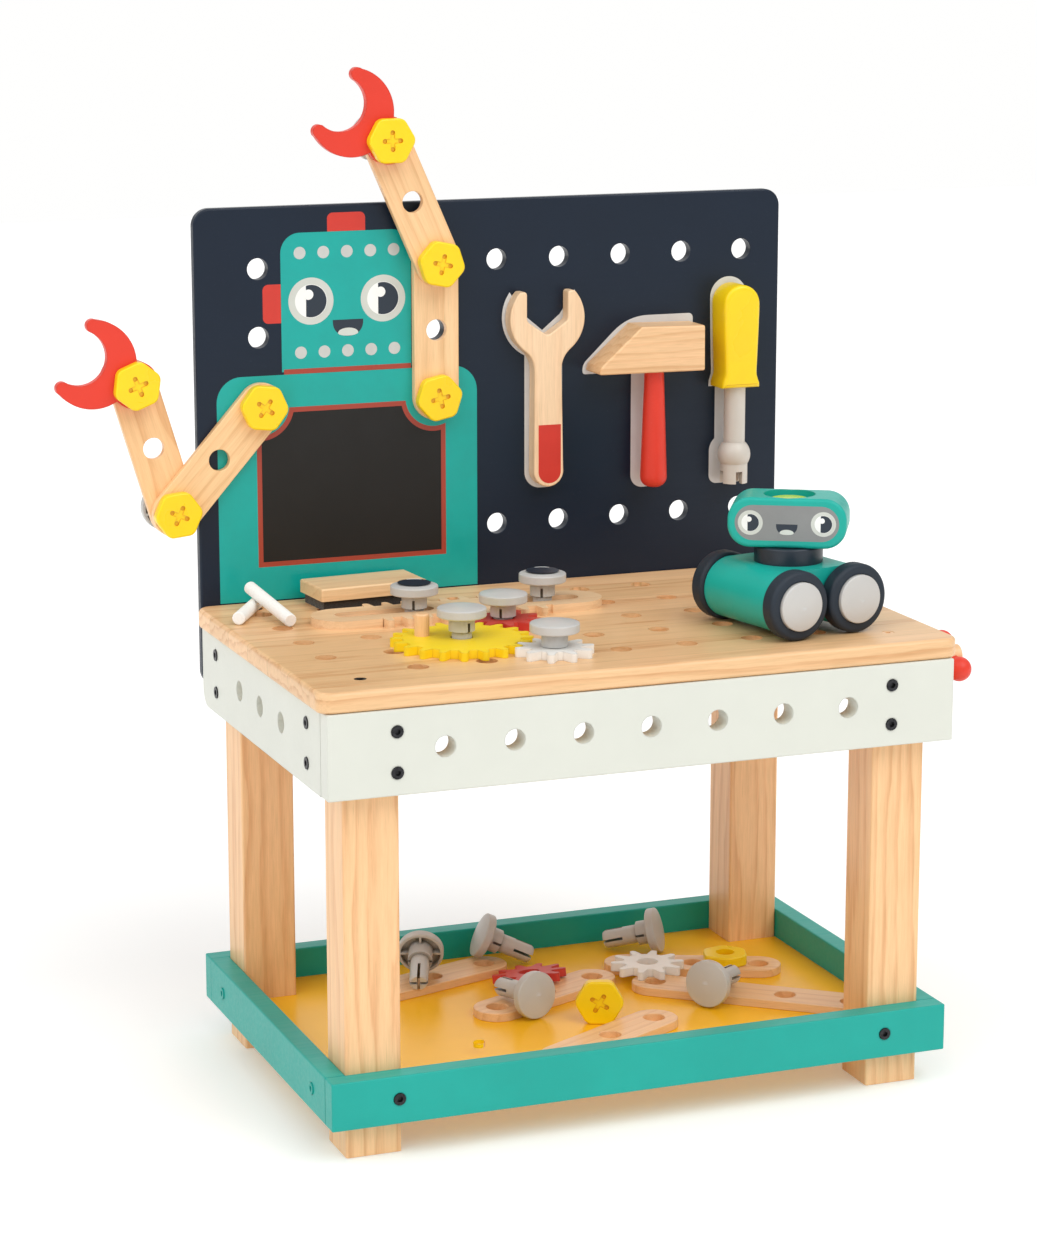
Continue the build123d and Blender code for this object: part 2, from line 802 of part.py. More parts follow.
# Table pegs: where each collar starts, and the way its slit faces, in degrees from +X
on_gear_z = table_z + gear_thickness
table_peg_places = [
    (big_gear_x, big_gear_y, on_gear_z + 4.7, -77),
    (small_gear_x, red_gear_y, on_gear_z + 1.5, -122),
    (small_gear_x, white_gear_y, on_gear_z + 0.4, -20),
    (big_gear_x, rack_y, on_gear_z + 1.5, -113),
    (0, rack_y, on_gear_z + 3, -115),
]
table_peg_planes = []
for x, y, z, facing in table_peg_places:
    slit_side = (cos(radians(facing)), sin(radians(facing)), 0)
    table_peg_planes.append(Plane(origin=(x, y, z), x_dir=slit_side, z_dir=(0, 0, 1)))
table_pegs = place(peg_solid, table_peg_planes)


# ---------------------------------------------------------------- brush and chalk

brush_x = -110
brush_y = 255
brush_turn = 4.5
felt_top_z = table_z + 7.2
with BuildPart() as brush_felt:
    with BuildSketch(Plane((brush_x, brush_y, table_z)).rotated((0, 0, brush_turn))):
        RectangleRounded(75, 36, 1.5)
    extrude(amount=felt_top_z - table_z)

with BuildPart() as brush_block:
    with BuildSketch(Plane((brush_x, brush_y, felt_top_z)).rotated((0, 0, brush_turn))):
        RectangleRounded(80, 41, 1.5)
    extrude(amount=9)
    fillet(brush_block.edges().group_by(Axis.Z)[-1], 1.5)

chalk_radius = 4.5


def make_chalk(start, end):
    """Round chalk stick between two points on its axis."""
    run = Vector(*end) - Vector(*start)
    with BuildPart() as stick:
        with BuildSketch(along(start, run)):
            Circle(chalk_radius)
        extrude(amount=run.length)
        fillet(stick.edges().filter_by(GeomType.CIRCLE), 0.8)
    return stick


chalk_axis_z = table_z + chalk_radius + 0.3
chalk_b = make_chalk((-214, 212, chalk_axis_z), (-179, 272, chalk_axis_z))
chalk_a = make_chalk((-183, 193, chalk_axis_z), (-191.4, 260, chalk_axis_z + 10.6))


# ---------------------------------------------------------------- robot buggy

buggy_x = 134
buggy_y = 79
buggy_turn = 11
axle_z = table_z + 23.8
wheel_radius = 23.5
drum_radius = 21
drum_half_length = 34
drum_spacing = 48.5
wheel_inner = 34.4
wheel_outer = 47
wheel_recess = 43
body_plane = Plane((buggy_x, buggy_y, axle_z)).rotated((0, 0, buggy_turn))
side_view = Plane(origin=body_plane.origin, x_dir=body_plane.x_dir, z_dir=-body_plane.y_dir)
neck_bottom_z = axle_z + drum_radius
neck_radius = 23.3
neck_height = 11.5
head_bottom_z = neck_bottom_z + neck_height + 0.2

with BuildPart() as buggy_body:
    with BuildSketch(side_view.offset(-drum_half_length)):
        with Locations((-drum_spacing / 2, 0), (drum_spacing / 2, 0)):
            Circle(drum_radius)
        with Locations((0, drum_radius / 2 - 2)):
            Rectangle(drum_spacing, drum_radius + 4)
    extrude(amount=2 * drum_half_length)
    with BuildSketch(side_view.offset(-drum_half_length)):
        with Locations((-drum_spacing / 2, 0), (drum_spacing / 2, 0)):
            Circle(nut_hole_radius)
    extrude(amount=2 * drum_half_length, mode=Mode.SUBTRACT)
    with Locations((buggy_x, buggy_y, neck_bottom_z)):
        Cylinder(6.1, 16, mode=Mode.SUBTRACT)

with BuildPart() as buggy_neck:
    with BuildSketch(Plane((buggy_x, buggy_y, neck_bottom_z))):
        Circle(neck_radius)
    extrude(amount=neck_height)
    fillet(buggy_neck.edges().group_by(Axis.Z)[-1], 1.5)
    with Locations((buggy_x, buggy_y, neck_bottom_z - 7)):
        Cylinder(6, neck_height + 7 + 10, align=lowest)

head_turn = -30
head_width = 80
head_depth = 38
head_height = 34
head_corner_radius = 15
head_middle = (buggy_x, buggy_y, head_bottom_z + head_height / 2)
head_plane = Plane(
    origin=head_middle,
    x_dir=(cos(radians(head_turn)), sin(radians(head_turn)), 0),
    z_dir=(sin(radians(head_turn)), -cos(radians(head_turn)), 0),
)
head_top_z = head_bottom_z + head_height
level_recess_radius = 17.5
level_recess_depth = 6

with BuildPart() as buggy_head:
    with BuildSketch(head_plane.offset(-head_depth / 2)):
        RectangleRounded(head_width, head_height, head_corner_radius)
    extrude(amount=head_depth)
    face_edges = buggy_head.faces().sort_by(Axis(head_middle, head_plane.z_dir))
    fillet(face_edges[0].edges() + face_edges[-1].edges(), 2.5)
    with Locations((buggy_x, buggy_y, head_top_z)):
        Cylinder(level_recess_radius, 2 * level_recess_depth, mode=Mode.SUBTRACT)
    with Locations((buggy_x, buggy_y, head_bottom_z)):
        Cylinder(6.4, 22, mode=Mode.SUBTRACT)

with BuildPart() as buggy_level:
    with BuildSketch(Plane((buggy_x, buggy_y, head_top_z - level_recess_depth))):
        Circle(13)
    extrude(amount=3)
    fillet(buggy_level.edges().group_by(Axis.Z)[-1], 1.2)


def wheel_plane(drum_side, end):
    """Plane on an axle, facing outwards along it from the middle of the buggy."""
    outward = body_plane.y_dir * end
    origin = body_plane.origin + body_plane.x_dir * (drum_side * drum_spacing / 2)
    return Plane(origin=origin, x_dir=body_plane.x_dir, z_dir=outward)


def make_wheel():
    """Wheel around Z with a recess in its outer face for the hub peg's head."""
    with BuildPart() as wheel:
        with BuildSketch(Plane.XY.offset(wheel_inner)):
            Circle(wheel_radius)
        extrude(amount=wheel_outer - wheel_inner)
        fillet(wheel.edges(), 3)
        with BuildSketch(Plane.XY.offset(wheel_inner)):
            Circle(collar_radius + 0.4)
        extrude(amount=wheel_outer - wheel_inner, mode=Mode.SUBTRACT)
        with BuildSketch(Plane.XY.offset(wheel_recess)):
            Circle(peg_head_radius + 0.5)
        extrude(amount=wheel_outer - wheel_recess, mode=Mode.SUBTRACT)
    return wheel.part


wheel_solid = make_wheel()
axle_ends = [(-1, -1), (1, -1), (-1, 1), (1, 1)]
buggy_wheels = [place(wheel_solid, [wheel_plane(*axle_end)]) for axle_end in axle_ends]
buggy_hub_pegs = place(
    peg_solid, [wheel_plane(*axle_end).offset(drum_half_length) for axle_end in axle_ends]
)


# ---------------------------------------------------------------- vise on the right apron

jaw_inner_x = 225.5
jaw_thickness = 14
hub_start_x = 252
hub_end_x = 265.8
handle_x = 260
bar_radius = 4.5
ball_radius = 8.6
bar_half_length = 15
bar_angle = degrees(atan2(15.5, 30.8))
vise_plane = Plane(origin=(0, vise_y, vise_z), x_dir=(0, 1, 0), z_dir=(1, 0, 0))

with BuildPart() as vise_jaw:
    with BuildSketch(vise_plane.offset(jaw_inner_x)):
        with Locations((0, -7)):
            RectangleRounded(54, 40, 6)
        Circle(vise_screw_radius + 0.4, mode=Mode.SUBTRACT)
    extrude(amount=jaw_thickness)

with BuildPart() as vise_screw:
    with BuildSketch(vise_plane.offset(192)):
        Circle(vise_screw_radius)
    extrude(amount=hub_start_x - 192)
    with BuildSketch(vise_plane.offset(hub_start_x)):
        Circle(7.5)
    extrude(amount=hub_end_x - hub_start_x)
    with BuildSketch(vise_plane.offset(192)):
        Circle(9)
    extrude(amount=5)
    with Locations(along((handle_x, vise_y, vise_z), (0, cos(radians(bar_angle)), sin(radians(bar_angle))))):
        Cylinder(bar_radius + 0.1, 40, mode=Mode.SUBTRACT)

with BuildPart() as vise_handle:
    with Locations(along((handle_x, vise_y, vise_z), (0, cos(radians(bar_angle)), sin(radians(bar_angle))))):
        Cylinder(bar_radius, 2 * bar_half_length)
        with Locations((0, 0, -bar_half_length), (0, 0, bar_half_length)):
            Sphere(ball_radius)


# ---------------------------------------------------------------- loose pieces in the tray

on_link_z = floor_top_z + link_thickness + 0.1


def link_on_floor(x, y, next_x, next_y):
    """Plane on the tray floor with local X from one hole towards the next."""
    heading = degrees(atan2(next_y - y, next_x - x))
    return Plane((x, y, floor_top_z)).rotated((0, 0, heading))


with BuildPart() as tray_links:
    for plane in (
        link_on_floor(-25.7, 242, -115.9, 213.4),
        link_on_floor(35.9, 186.2, -51.5, 148.2),
        link_on_floor(159.1, 170.2, 72, 209),
        link_on_floor(41.7, 88, -40.9, 44.5),
    ):
        add(plane.location * three_hole_link)
    add(link_on_floor(73.4, 159.5, 183.2, 69.7).location * four_hole_link)


def leaning(x, y, z, heading, tilt):
    """Plane whose normal leans away from +Z by the tilt, towards the heading."""
    lean = radians(tilt)
    turn = radians(heading)
    normal = (sin(lean) * cos(turn), sin(lean) * sin(turn), cos(lean))
    return Plane(origin=(x, y, z), x_dir=(cos(turn) * cos(lean), sin(turn) * cos(lean), -sin(lean)), z_dir=normal)


big_tilt = 4.2
big_away = degrees(atan2(148.2 - 104.5, -51.5 + 92.5)) + 180
big_centre_z = floor_top_z + 47.5 * sin(radians(big_tilt)) + 0.3
big_gear_plane = leaning(-92.5, 104.5, big_centre_z, big_away, big_tilt)
with BuildPart() as tray_yellow_gear:
    add(big_gear_plane.location * make_big_gear(tray_crank))
    knob_plane = big_gear_plane.shift_origin(big_gear_plane.from_local_coords(Vector(*tray_crank, 0)))
    add(knob_plane.location * knob_solid)

red_tilt = 9
red_away = degrees(atan2(38, 87.4)) + 90
red_centre_z = floor_top_z + 26.6 * sin(radians(red_tilt)) + 0.3
with BuildPart() as tray_small_gears:
    add(leaning(-7, 199, red_centre_z, red_away, red_tilt).location * make_gear(small_teeth, 10))
    add(Plane((78.6, 185.5, on_link_z)).location * make_gear(small_teeth, 20))

with BuildPart() as tray_nuts:
    add(Plane((137.3, 180, on_link_z + nut_height), x_dir=(1, 0.2, 0), z_dir=(0, 0, -1)).location * nut_solid)
    facing = (-0.36, -0.93, 0)
    across_flats = nut_radius * cos(radians(30)) + 0.1
    corner_side = (0.465, -0.18, 0.866)
    standing = Plane(origin=(10, 110, floor_top_z + across_flats), x_dir=corner_side, z_dir=facing)
    add(standing.location * nut_solid)

head_middle_reach = collar_length + peg_head_side / 2


def lying_peg(head_x, head_y, head_z, heading, drop):
    """Plane of a peg lying with its tip at the heading and its axis dropping towards the tip."""
    turn = radians(heading)
    fall = radians(drop)
    to_head = Vector(-cos(turn) * cos(fall), -sin(turn) * cos(fall), sin(fall))
    middle = Vector(head_x, head_y, head_z)
    return Plane(origin=middle - to_head * head_middle_reach, x_dir=(-sin(turn), cos(turn), 0), z_dir=to_head)


floor_head_z = floor_top_z + peg_head_radius + 0.8
floor_drop = degrees(asin((peg_head_radius - shaft_radius) / hypot(shaft_length + head_middle_reach, 9.8)))
tray_pegs = place(
    peg_solid,
    [
        lying_peg(-77, 234, on_link_z + 17.2, -112, 18),
        lying_peg(-22, 253, on_link_z + 16.9, -11.3, 25),
        lying_peg(-30, 131, floor_head_z, 107, 5),
        lying_peg(106, 236.5, floor_head_z, 146.2, floor_drop),
        lying_peg(92.5, 110, floor_head_z, 37.8, 5),
    ],
)


# ---------------------------------------------------------------- naming and export

pieces = {
    "leg_front_left": leg_front_left,
    "leg_front_right": leg_front_right,
    "leg_back_left": leg_back_left,
    "leg_back_right": leg_back_right,
    "apron_front": apron_front,
    "apron_left": apron_left,
    "apron_right": apron_right,
    "back_rail": back_rail,
    "tabletop": tabletop,
    "back_panel": back_panel,
    "tray_front": tray_front,
    "tray_back": tray_back,
    "tray_left": tray_left,
    "tray_right": tray_right,
    "tray_floor": tray_floor,
    "frame_bolts": frame_bolts,
    "panel_pegs": panel_pegs,
    "panel_nuts": panel_nuts,
    "right_lower_link": right_lower_link,
    "table_pegs": table_pegs,
    "left_upper_arm": left_upper_arm,
    "left_forearm": left_forearm,
    "left_arm_pegs": left_arm_pegs,
    "left_arm_nuts": left_arm_nuts,
    "left_claw": left_claw,
    "right_forearm": right_forearm,
    "right_wrist_peg": right_wrist_peg,
    "right_wrist_nut": right_wrist_nut,
    "right_claw": right_claw,
    "wrench": wrench,
    "hammer_head": hammer_head,
    "hammer_handle": hammer_handle,
    "screwdriver_handle": screwdriver_handle,
    "screwdriver_shaft": screwdriver_shaft,
    "drive_gear": drive_gear,
    "crank_knob": crank_knob,
    "red_gear": red_gear,
    "white_gear": white_gear,
    "rack": rack,
    "brush_block": brush_block,
    "brush_felt": brush_felt,
    "chalk_a": chalk_a,
    "chalk_b": chalk_b,
    "buggy_body": buggy_body,
    "buggy_neck": buggy_neck,
    "buggy_head": buggy_head,
    "buggy_level": buggy_level,
    "buggy_hub_pegs": buggy_hub_pegs,
    "vise_jaw": vise_jaw,
    "vise_screw": vise_screw,
    "vise_handle": vise_handle,
    "tray_pegs": tray_pegs,
    "tray_links": tray_links,
    "tray_nuts": tray_nuts,
    "tray_yellow_gear": tray_yellow_gear,
    "tray_small_gears": tray_small_gears,
}
for number, wheel in enumerate(buggy_wheels, start=1):
    pieces[f"buggy_wheel_{number}"] = wheel

to_object_frame = Location((-outline_middle_x, -outline_middle_y, 0))
for name, piece in pieces.items():
    solid = piece.part.moved(to_object_frame)
    solid.label = name
    export_step(solid, f"parts/{name}.step")
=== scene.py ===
from math import acos, atan2, cos, degrees, pi, radians, sin

import bmesh
import bpy
from mathutils import Matrix, Vector


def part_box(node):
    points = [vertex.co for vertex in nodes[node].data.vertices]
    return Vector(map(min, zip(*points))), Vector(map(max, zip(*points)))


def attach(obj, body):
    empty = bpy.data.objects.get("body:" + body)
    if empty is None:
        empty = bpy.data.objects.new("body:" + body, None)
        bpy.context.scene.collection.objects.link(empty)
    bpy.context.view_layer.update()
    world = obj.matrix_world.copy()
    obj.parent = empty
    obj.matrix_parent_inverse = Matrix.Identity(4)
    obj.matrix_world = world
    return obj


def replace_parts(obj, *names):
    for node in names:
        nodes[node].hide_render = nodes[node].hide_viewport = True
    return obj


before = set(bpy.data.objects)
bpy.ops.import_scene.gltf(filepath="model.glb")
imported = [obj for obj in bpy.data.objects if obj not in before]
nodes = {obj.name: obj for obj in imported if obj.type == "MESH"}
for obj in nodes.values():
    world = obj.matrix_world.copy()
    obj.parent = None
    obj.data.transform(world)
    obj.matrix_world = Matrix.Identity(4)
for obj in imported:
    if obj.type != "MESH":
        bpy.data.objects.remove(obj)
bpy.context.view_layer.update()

MM = 0.001
apron_low, apron_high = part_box("apron_front")
bench_x = (apron_low.x + apron_high.x) / 2
bench_y = apron_low.y
panel_front = (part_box("back_panel")[0].y - bench_y) / MM
table_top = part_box("tabletop")[1].z / MM


def at(x, y, z):
    """A place in bench millimetres: x from the middle, y from the front face, z from the floor."""
    return Vector((bench_x + x * MM, bench_y + y * MM, z * MM))


def bench_span(name):
    """The node's lowest and highest x, and lowest and highest z, in bench millimetres."""
    low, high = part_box(name)
    return (low.x - bench_x) / MM, (high.x - bench_x) / MM, low.z / MM, high.z / MM


# ------------------------------------------------------------------ material building blocks
def linear(code):
    """The linear colour of a hex code."""
    values = [int(code[i:i + 2], 16) / 255 for i in (0, 2, 4)]
    return tuple(v / 12.92 if v <= 0.04045 else ((v + 0.055) / 1.055) ** 2.4 for v in values) + (1,)


class Shader:
    """A material being built: its node tree and its principled shader."""

    def __init__(self, name, roughness, specular=0.5):
        self.material = bpy.data.materials.new(name)
        self.material.use_nodes = True
        self.tree = self.material.node_tree
        self.tree.nodes.clear()
        self.bsdf = self.tree.nodes.new("ShaderNodeBsdfPrincipled")
        output = self.tree.nodes.new("ShaderNodeOutputMaterial")
        self.tree.links.new(self.bsdf.outputs[0], output.inputs["Surface"])
        self.set("Roughness", roughness)
        self.set("Specular IOR Level", specular)

    def set(self, name, value):
        """Set an input of the principled shader, or link it when the value is a socket."""
        if isinstance(value, bpy.types.NodeSocket):
            self.tree.links.new(value, self.bsdf.inputs[name])
        else:
            self.bsdf.inputs[name].default_value = value

    def node(self, kind, inputs=(), **settings):
        """A new node with its settings made and its inputs set or linked."""
        made = self.tree.nodes.new("ShaderNode" + kind)
        for key, value in settings.items():
            setattr(made, key, value)
        for key, value in dict(inputs).items():
            if isinstance(value, bpy.types.NodeSocket):
                self.tree.links.new(value, made.inputs[key])
            else:
                made.inputs[key].default_value = value
        return made

    def math(self, operation, *values):
        return self.node("Math", enumerate(values), operation=operation).outputs[0]

    def vector(self, operation, first, second, output=0):
        return self.node("VectorMath", {0: first, 1: second}, operation=operation).outputs[output]

    def coords(self, turn=(0, 0, 0), shift=(0, 0, 0)):
        """Object coordinates in metres, turned so that the grain runs along X."""
        raw = self.node("TexCoord").outputs["Object"]
        turned = self.node("Mapping", {"Vector": raw, "Rotation": turn}).outputs[0]
        return self.vector("ADD", turned, shift)

    def noise(self, place, scale, detail=2.0, rough=0.5, stretch=(1, 1, 1), warp=0.0):
        scaled = self.vector("MULTIPLY", place, stretch)
        inputs = {"Vector": scaled, "Scale": scale, "Detail": detail, "Roughness": rough, "Distortion": warp}
        return self.node("TexNoise", inputs).outputs[0]

    def spread(self, value, low, high, low_to=0.0, high_to=1.0):
        """The value mapped from low..high to low_to..high_to, and held at both ends."""
        inputs = {0: value, 1: low, 2: high, 3: low_to, 4: high_to}
        return self.node("MapRange", inputs).outputs[0]

    def ramp(self, value, stops):
        made = self.node("ValToRGB", {0: value})
        ramp = made.color_ramp
        while len(ramp.elements) < len(stops):
            ramp.elements.new(0.5)
        for element, (place, colour) in zip(ramp.elements, stops):
            element.position = place
            element.color = colour
        return made.outputs[0]

    def mix(self, factor, first, second, blend="MIX"):
        made = self.node("Mix", data_type="RGBA", blend_type=blend)
        for index, value in ((0, factor), (6, first), (7, second)):
            if isinstance(value, bpy.types.NodeSocket):
                self.tree.links.new(value, made.inputs[index])
            else:
                made.inputs[index].default_value = value
        return made.outputs[2]

    def bump(self, height, strength, distance, normal=None):
        inputs = {"Height": height, "Strength": strength, "Distance": distance}
        if normal is not None:
            inputs["Normal"] = normal
        return self.node("Bump", inputs).outputs[0]


def darker(colour, factor):
    return tuple(c * factor for c in colour[:3]) + (1,)


# Turns that lay the grain along each axis
ALONG_X = (0, 0, 0)
ALONG_Y = (0, 0, -pi / 2)
ALONG_Z = (0, pi / 2, 0)

# One growth ring from its pale early wood to its dark line, as (place in the ring, depth of tone)
RING_TONES = ((0.0, 0.25), (0.12, 0.0), (0.55, 0.18), (0.86, 0.85), (0.95, 1.0), (1.0, 0.25))
RING_STRETCH = (0.035, 1, 1)
HEART_OFFSET = (0, 0.031, -0.047)
RING_SWAY = 2.6
STRIP_OFFSET = (0.9, 0.06, 0.12)
SEAM_WIDTH, SEAM_TONE = 0.012, 0.72


def wood(name, tone, line_tone, turn, shift=(0, 0, 0), spacing=7.0, boldness=0.55, board_width=0.0):
    """Lacquered pine: growth rings cut lengthwise, fine fibres, pores, and glued strips where asked for."""
    look = Shader(name, 0.42)
    place = look.coords(turn, shift)
    if board_width:
        across = look.node("SeparateXYZ", {0: place}).outputs[1]
        strip = look.math("DIVIDE", across, board_width * MM)
        number = look.math("FLOOR", strip)
        chance = look.node("TexWhiteNoise", {"W": number}, noise_dimensions="1D").outputs
        place = look.vector("ADD", place, look.vector("MULTIPLY", chance["Color"], STRIP_OFFSET))
    sway = look.noise(place, 9.0, 3.0, 0.5, (0.55, 5, 5))
    ring_place = look.vector("ADD", look.vector("MULTIPLY", place, RING_STRETCH), HEART_OFFSET)
    distance = look.node("VectorMath", {0: ring_place}, operation="LENGTH").outputs["Value"]
    turns = look.math("MULTIPLY_ADD", distance, 1 / (spacing * MM), look.math("MULTIPLY", sway, RING_SWAY))
    phase = look.math("FRACT", turns)
    rings = look.ramp(phase, [(spot, (depth, depth, depth, 1)) for spot, depth in RING_TONES])
    streaks = look.noise(place, 30.0, 3.0, 0.6, (0.5, 9, 9))
    fibres = look.noise(place, 160.0, 3.0, 0.65, (0.35, 7, 7))
    strength = look.math("MULTIPLY", rings, look.spread(streaks, 0.3, 0.75, 0.35 * boldness, boldness))
    colour = look.mix(strength, linear(tone), linear(line_tone))
    tint = look.spread(fibres, 0.3, 0.7, 0.93, 1.05)
    tint = look.math("MULTIPLY", tint, look.spread(streaks, 0.25, 0.8, 1.04, 0.93))
    if board_width:
        tint = look.math("MULTIPLY", tint, look.spread(chance["Value"], 0.0, 1.0, 0.9, 1.05))
        seam = look.spread(look.math("PINGPONG", strip, 0.5), 0.0, SEAM_WIDTH, SEAM_TONE, 1.0)
        tint = look.math("MULTIPLY", tint, seam)
    pores = look.noise(place, 420.0, 1.0, 0.5, (0.12, 4, 4))
    tint = look.math("MULTIPLY", tint, look.spread(pores, 0.68, 0.78, 1.0, 0.86))
    shade = look.node("CombineXYZ", {0: tint, 1: tint, 2: look.math("POWER", tint, 1.35)}).outputs[0]
    colour = look.mix(1.0, colour, shade, "MULTIPLY")
    look.set("Base Color", colour)
    look.set("Roughness", look.spread(fibres, 0.3, 0.7, 0.36, 0.5))
    height = look.math("ADD", look.math("MULTIPLY", fibres, 0.7), look.math("MULTIPLY", rings, 0.3))
    look.set("Normal", look.bump(height, 0.22, 0.0002))
    look.set("Coat Weight", 0.18)
    look.set("Coat Roughness", 0.22)
    return look.material


PAINT_EDGE = 1.1


def paint(name, tone, roughness=0.36, grain=0.12, worn="FFFFFF", wear=0.25, clouding=0.05):
    """Satin paint on wood: faint grain under it, cloudy changes of tone, softened and paler at the edges."""
    look = Shader(name, roughness, 0.35)
    place = look.coords()
    base = linear(tone)
    clouds = look.noise(place, 22.0, 4.0, 0.55)
    grainy = look.noise(place, 190.0, 3.0, 0.6, (0.12, 2, 2))
    specks = look.noise(place, 900.0, 2.0, 0.5)
    colour = look.mix(look.spread(clouds, 0.3, 0.7), darker(base, 1 - clouding), darker(base, 1 + clouding))
    colour = look.mix(look.spread(specks, 0.7, 0.78, 0.0, 0.12), colour, linear(worn))
    soft_normal = look.node("Bevel", {"Radius": PAINT_EDGE * MM}, samples=3).outputs[0]
    face = look.node("NewGeometry").outputs["Normal"]
    flatness = look.vector("DOT_PRODUCT", soft_normal, face, "Value")
    edge = look.spread(flatness, 0.72, 0.97, wear, 0.0)
    patchy = look.math("MULTIPLY", edge, look.spread(clouds, 0.35, 0.62))
    colour = look.mix(patchy, colour, linear(worn))
    look.set("Base Color", colour)
    look.set("Roughness", look.spread(grainy, 0.3, 0.7, roughness - 0.4 * grain, roughness + 0.6 * grain))
    height = look.math("ADD", grainy, look.math("MULTIPLY", specks, 0.25))
    look.set("Normal", look.bump(height, grain, 0.0002, soft_normal))
    return look.material


def plastic(name, tone, painted_shade_tone, roughness=0.34, speckle=0.03):
    """Moulded plastic: nearly even colour with painted shade darkening its recesses, very fine texture, soft
    patches of gloss.
    """
    look = Shader(name, roughness)
    place = look.coords()
    base = linear(tone)
    flow = look.noise(place, 45.0, 3.0, 0.5, warp=0.6)
    fine = look.noise(place, 1400.0, 2.0, 0.5)
    unshaded_tone = look.mix(look.spread(flow, 0.3, 0.7), darker(base, 1 - speckle), darker(base, 1 + speckle))
    # Painted shade: ambient occlusion within 4 mm blends the colour towards the darker shade tone in creases
    # and recesses
    painted_shade_openness = look.node("AmbientOcclusion", {"Distance": 0.004}, samples=4, only_local=True).outputs["AO"]
    look.set("Base Color", look.mix(look.spread(painted_shade_openness, 0.45, 0.95), linear(painted_shade_tone), unshaded_tone))
    look.set("Roughness", look.spread(flow, 0.25, 0.75, roughness - 0.06, roughness + 0.08))
    look.set("Normal", look.bump(fine, 0.06, 0.0001))
    look.set("Subsurface Weight", 0.06)
    look.set("Subsurface Radius", (0.004, 0.003, 0.002))
    return look.material


def ink(name, tone, roughness=0.34):
    """Screen-printed ink with a faint dither of coverage."""
    look = Shader(name, roughness)
    place = look.coords()
    base = linear(tone)
    cover = look.noise(place, 60.0, 4.0, 0.6)
    fine = look.noise(place, 1100.0, 2.0, 0.5)
    look.set("Base Color", look.mix(look.spread(cover, 0.3, 0.7), darker(base, 0.95), darker(base, 1.04)))
    look.set("Roughness", look.spread(cover, 0.3, 0.7, roughness - 0.04, roughness + 0.06))
    look.set("Normal", look.bump(fine, 0.05, 0.0001))
    return look.material


def felt_look(name, tone):
    """Matted fibres: a fuzzy dark cloth with a soft sheen."""
    look = Shader(name, 0.95, 0.2)
    place = look.coords()
    base = linear(tone)
    fuzz = look.noise(place, 1300.0, 4.0, 0.7, warp=1.5)
    clumps = look.noise(place, 240.0, 3.0, 0.6)
    look.set("Base Color", look.mix(look.spread(fuzz, 0.3, 0.75), darker(base, 0.6), darker(base, 2.2)))
    look.set("Normal", look.bump(look.math("ADD", fuzz, clumps), 0.7, 0.0008))
    look.set("Sheen Weight", 0.35)
    look.set("Sheen Roughness", 0.6)
    return look.material


def chalk_look(name, tone):
    """Dusty, finely pitted chalk."""
    look = Shader(name, 0.95, 0.15)
    place = look.coords()
    base = linear(tone)
    dust = look.noise(place, 700.0, 4.0, 0.7)
    pits = look.noise(place, 260.0, 2.0, 0.6)
    look.set("Base Color", look.mix(look.spread(dust, 0.35, 0.7), darker(base, 0.93), base))
    look.set("Normal", look.bump(look.math("ADD", dust, pits), 0.35, 0.0005))
    return look.material


def rubber_look(name, tone):
    """Satin rubber with a patchy film of dust."""
    look = Shader(name, 0.55, 0.4)
    place = look.coords()
    base = linear(tone)
    film = look.noise(place, 60.0, 4.0, 0.6)
    fine = look.noise(place, 1500.0, 2.0, 0.5)
    look.set("Base Color", look.mix(look.spread(film, 0.35, 0.75), base, darker(base, 1.35)))
    look.set("Roughness", look.spread(film, 0.3, 0.7, 0.45, 0.65))
    look.set("Normal", look.bump(fine, 0.12, 0.0002))
    return look.material


def steel_look(name):
    """Blackened steel with faint turning marks."""
    look = Shader(name, 0.35)
    place = look.coords()
    turned = look.noise(place, 500.0, 3.0, 0.6, warp=0.5)
    look.set("Base Color", look.mix(look.spread(turned, 0.3, 0.7), linear("1C1C1F"), linear("38383C")))
    look.set("Metallic", 0.6)
    look.set("Roughness", look.spread(turned, 0.3, 0.7, 0.28, 0.45))
    look.set("Normal", look.bump(turned, 0.15, 0.0001))
    return look.material


# ------------------------------------------------------------------ looks of the CAD nodes
BEECH, BEECH_LINE = "F6C998", "DDA068"
arm_slopes = {"left_upper_arm": 228.5, "left_forearm": 106.5, "right_forearm": 113.8}
arm_turn = {name: (0, radians(slope), 0) for name, slope in arm_slopes.items()}

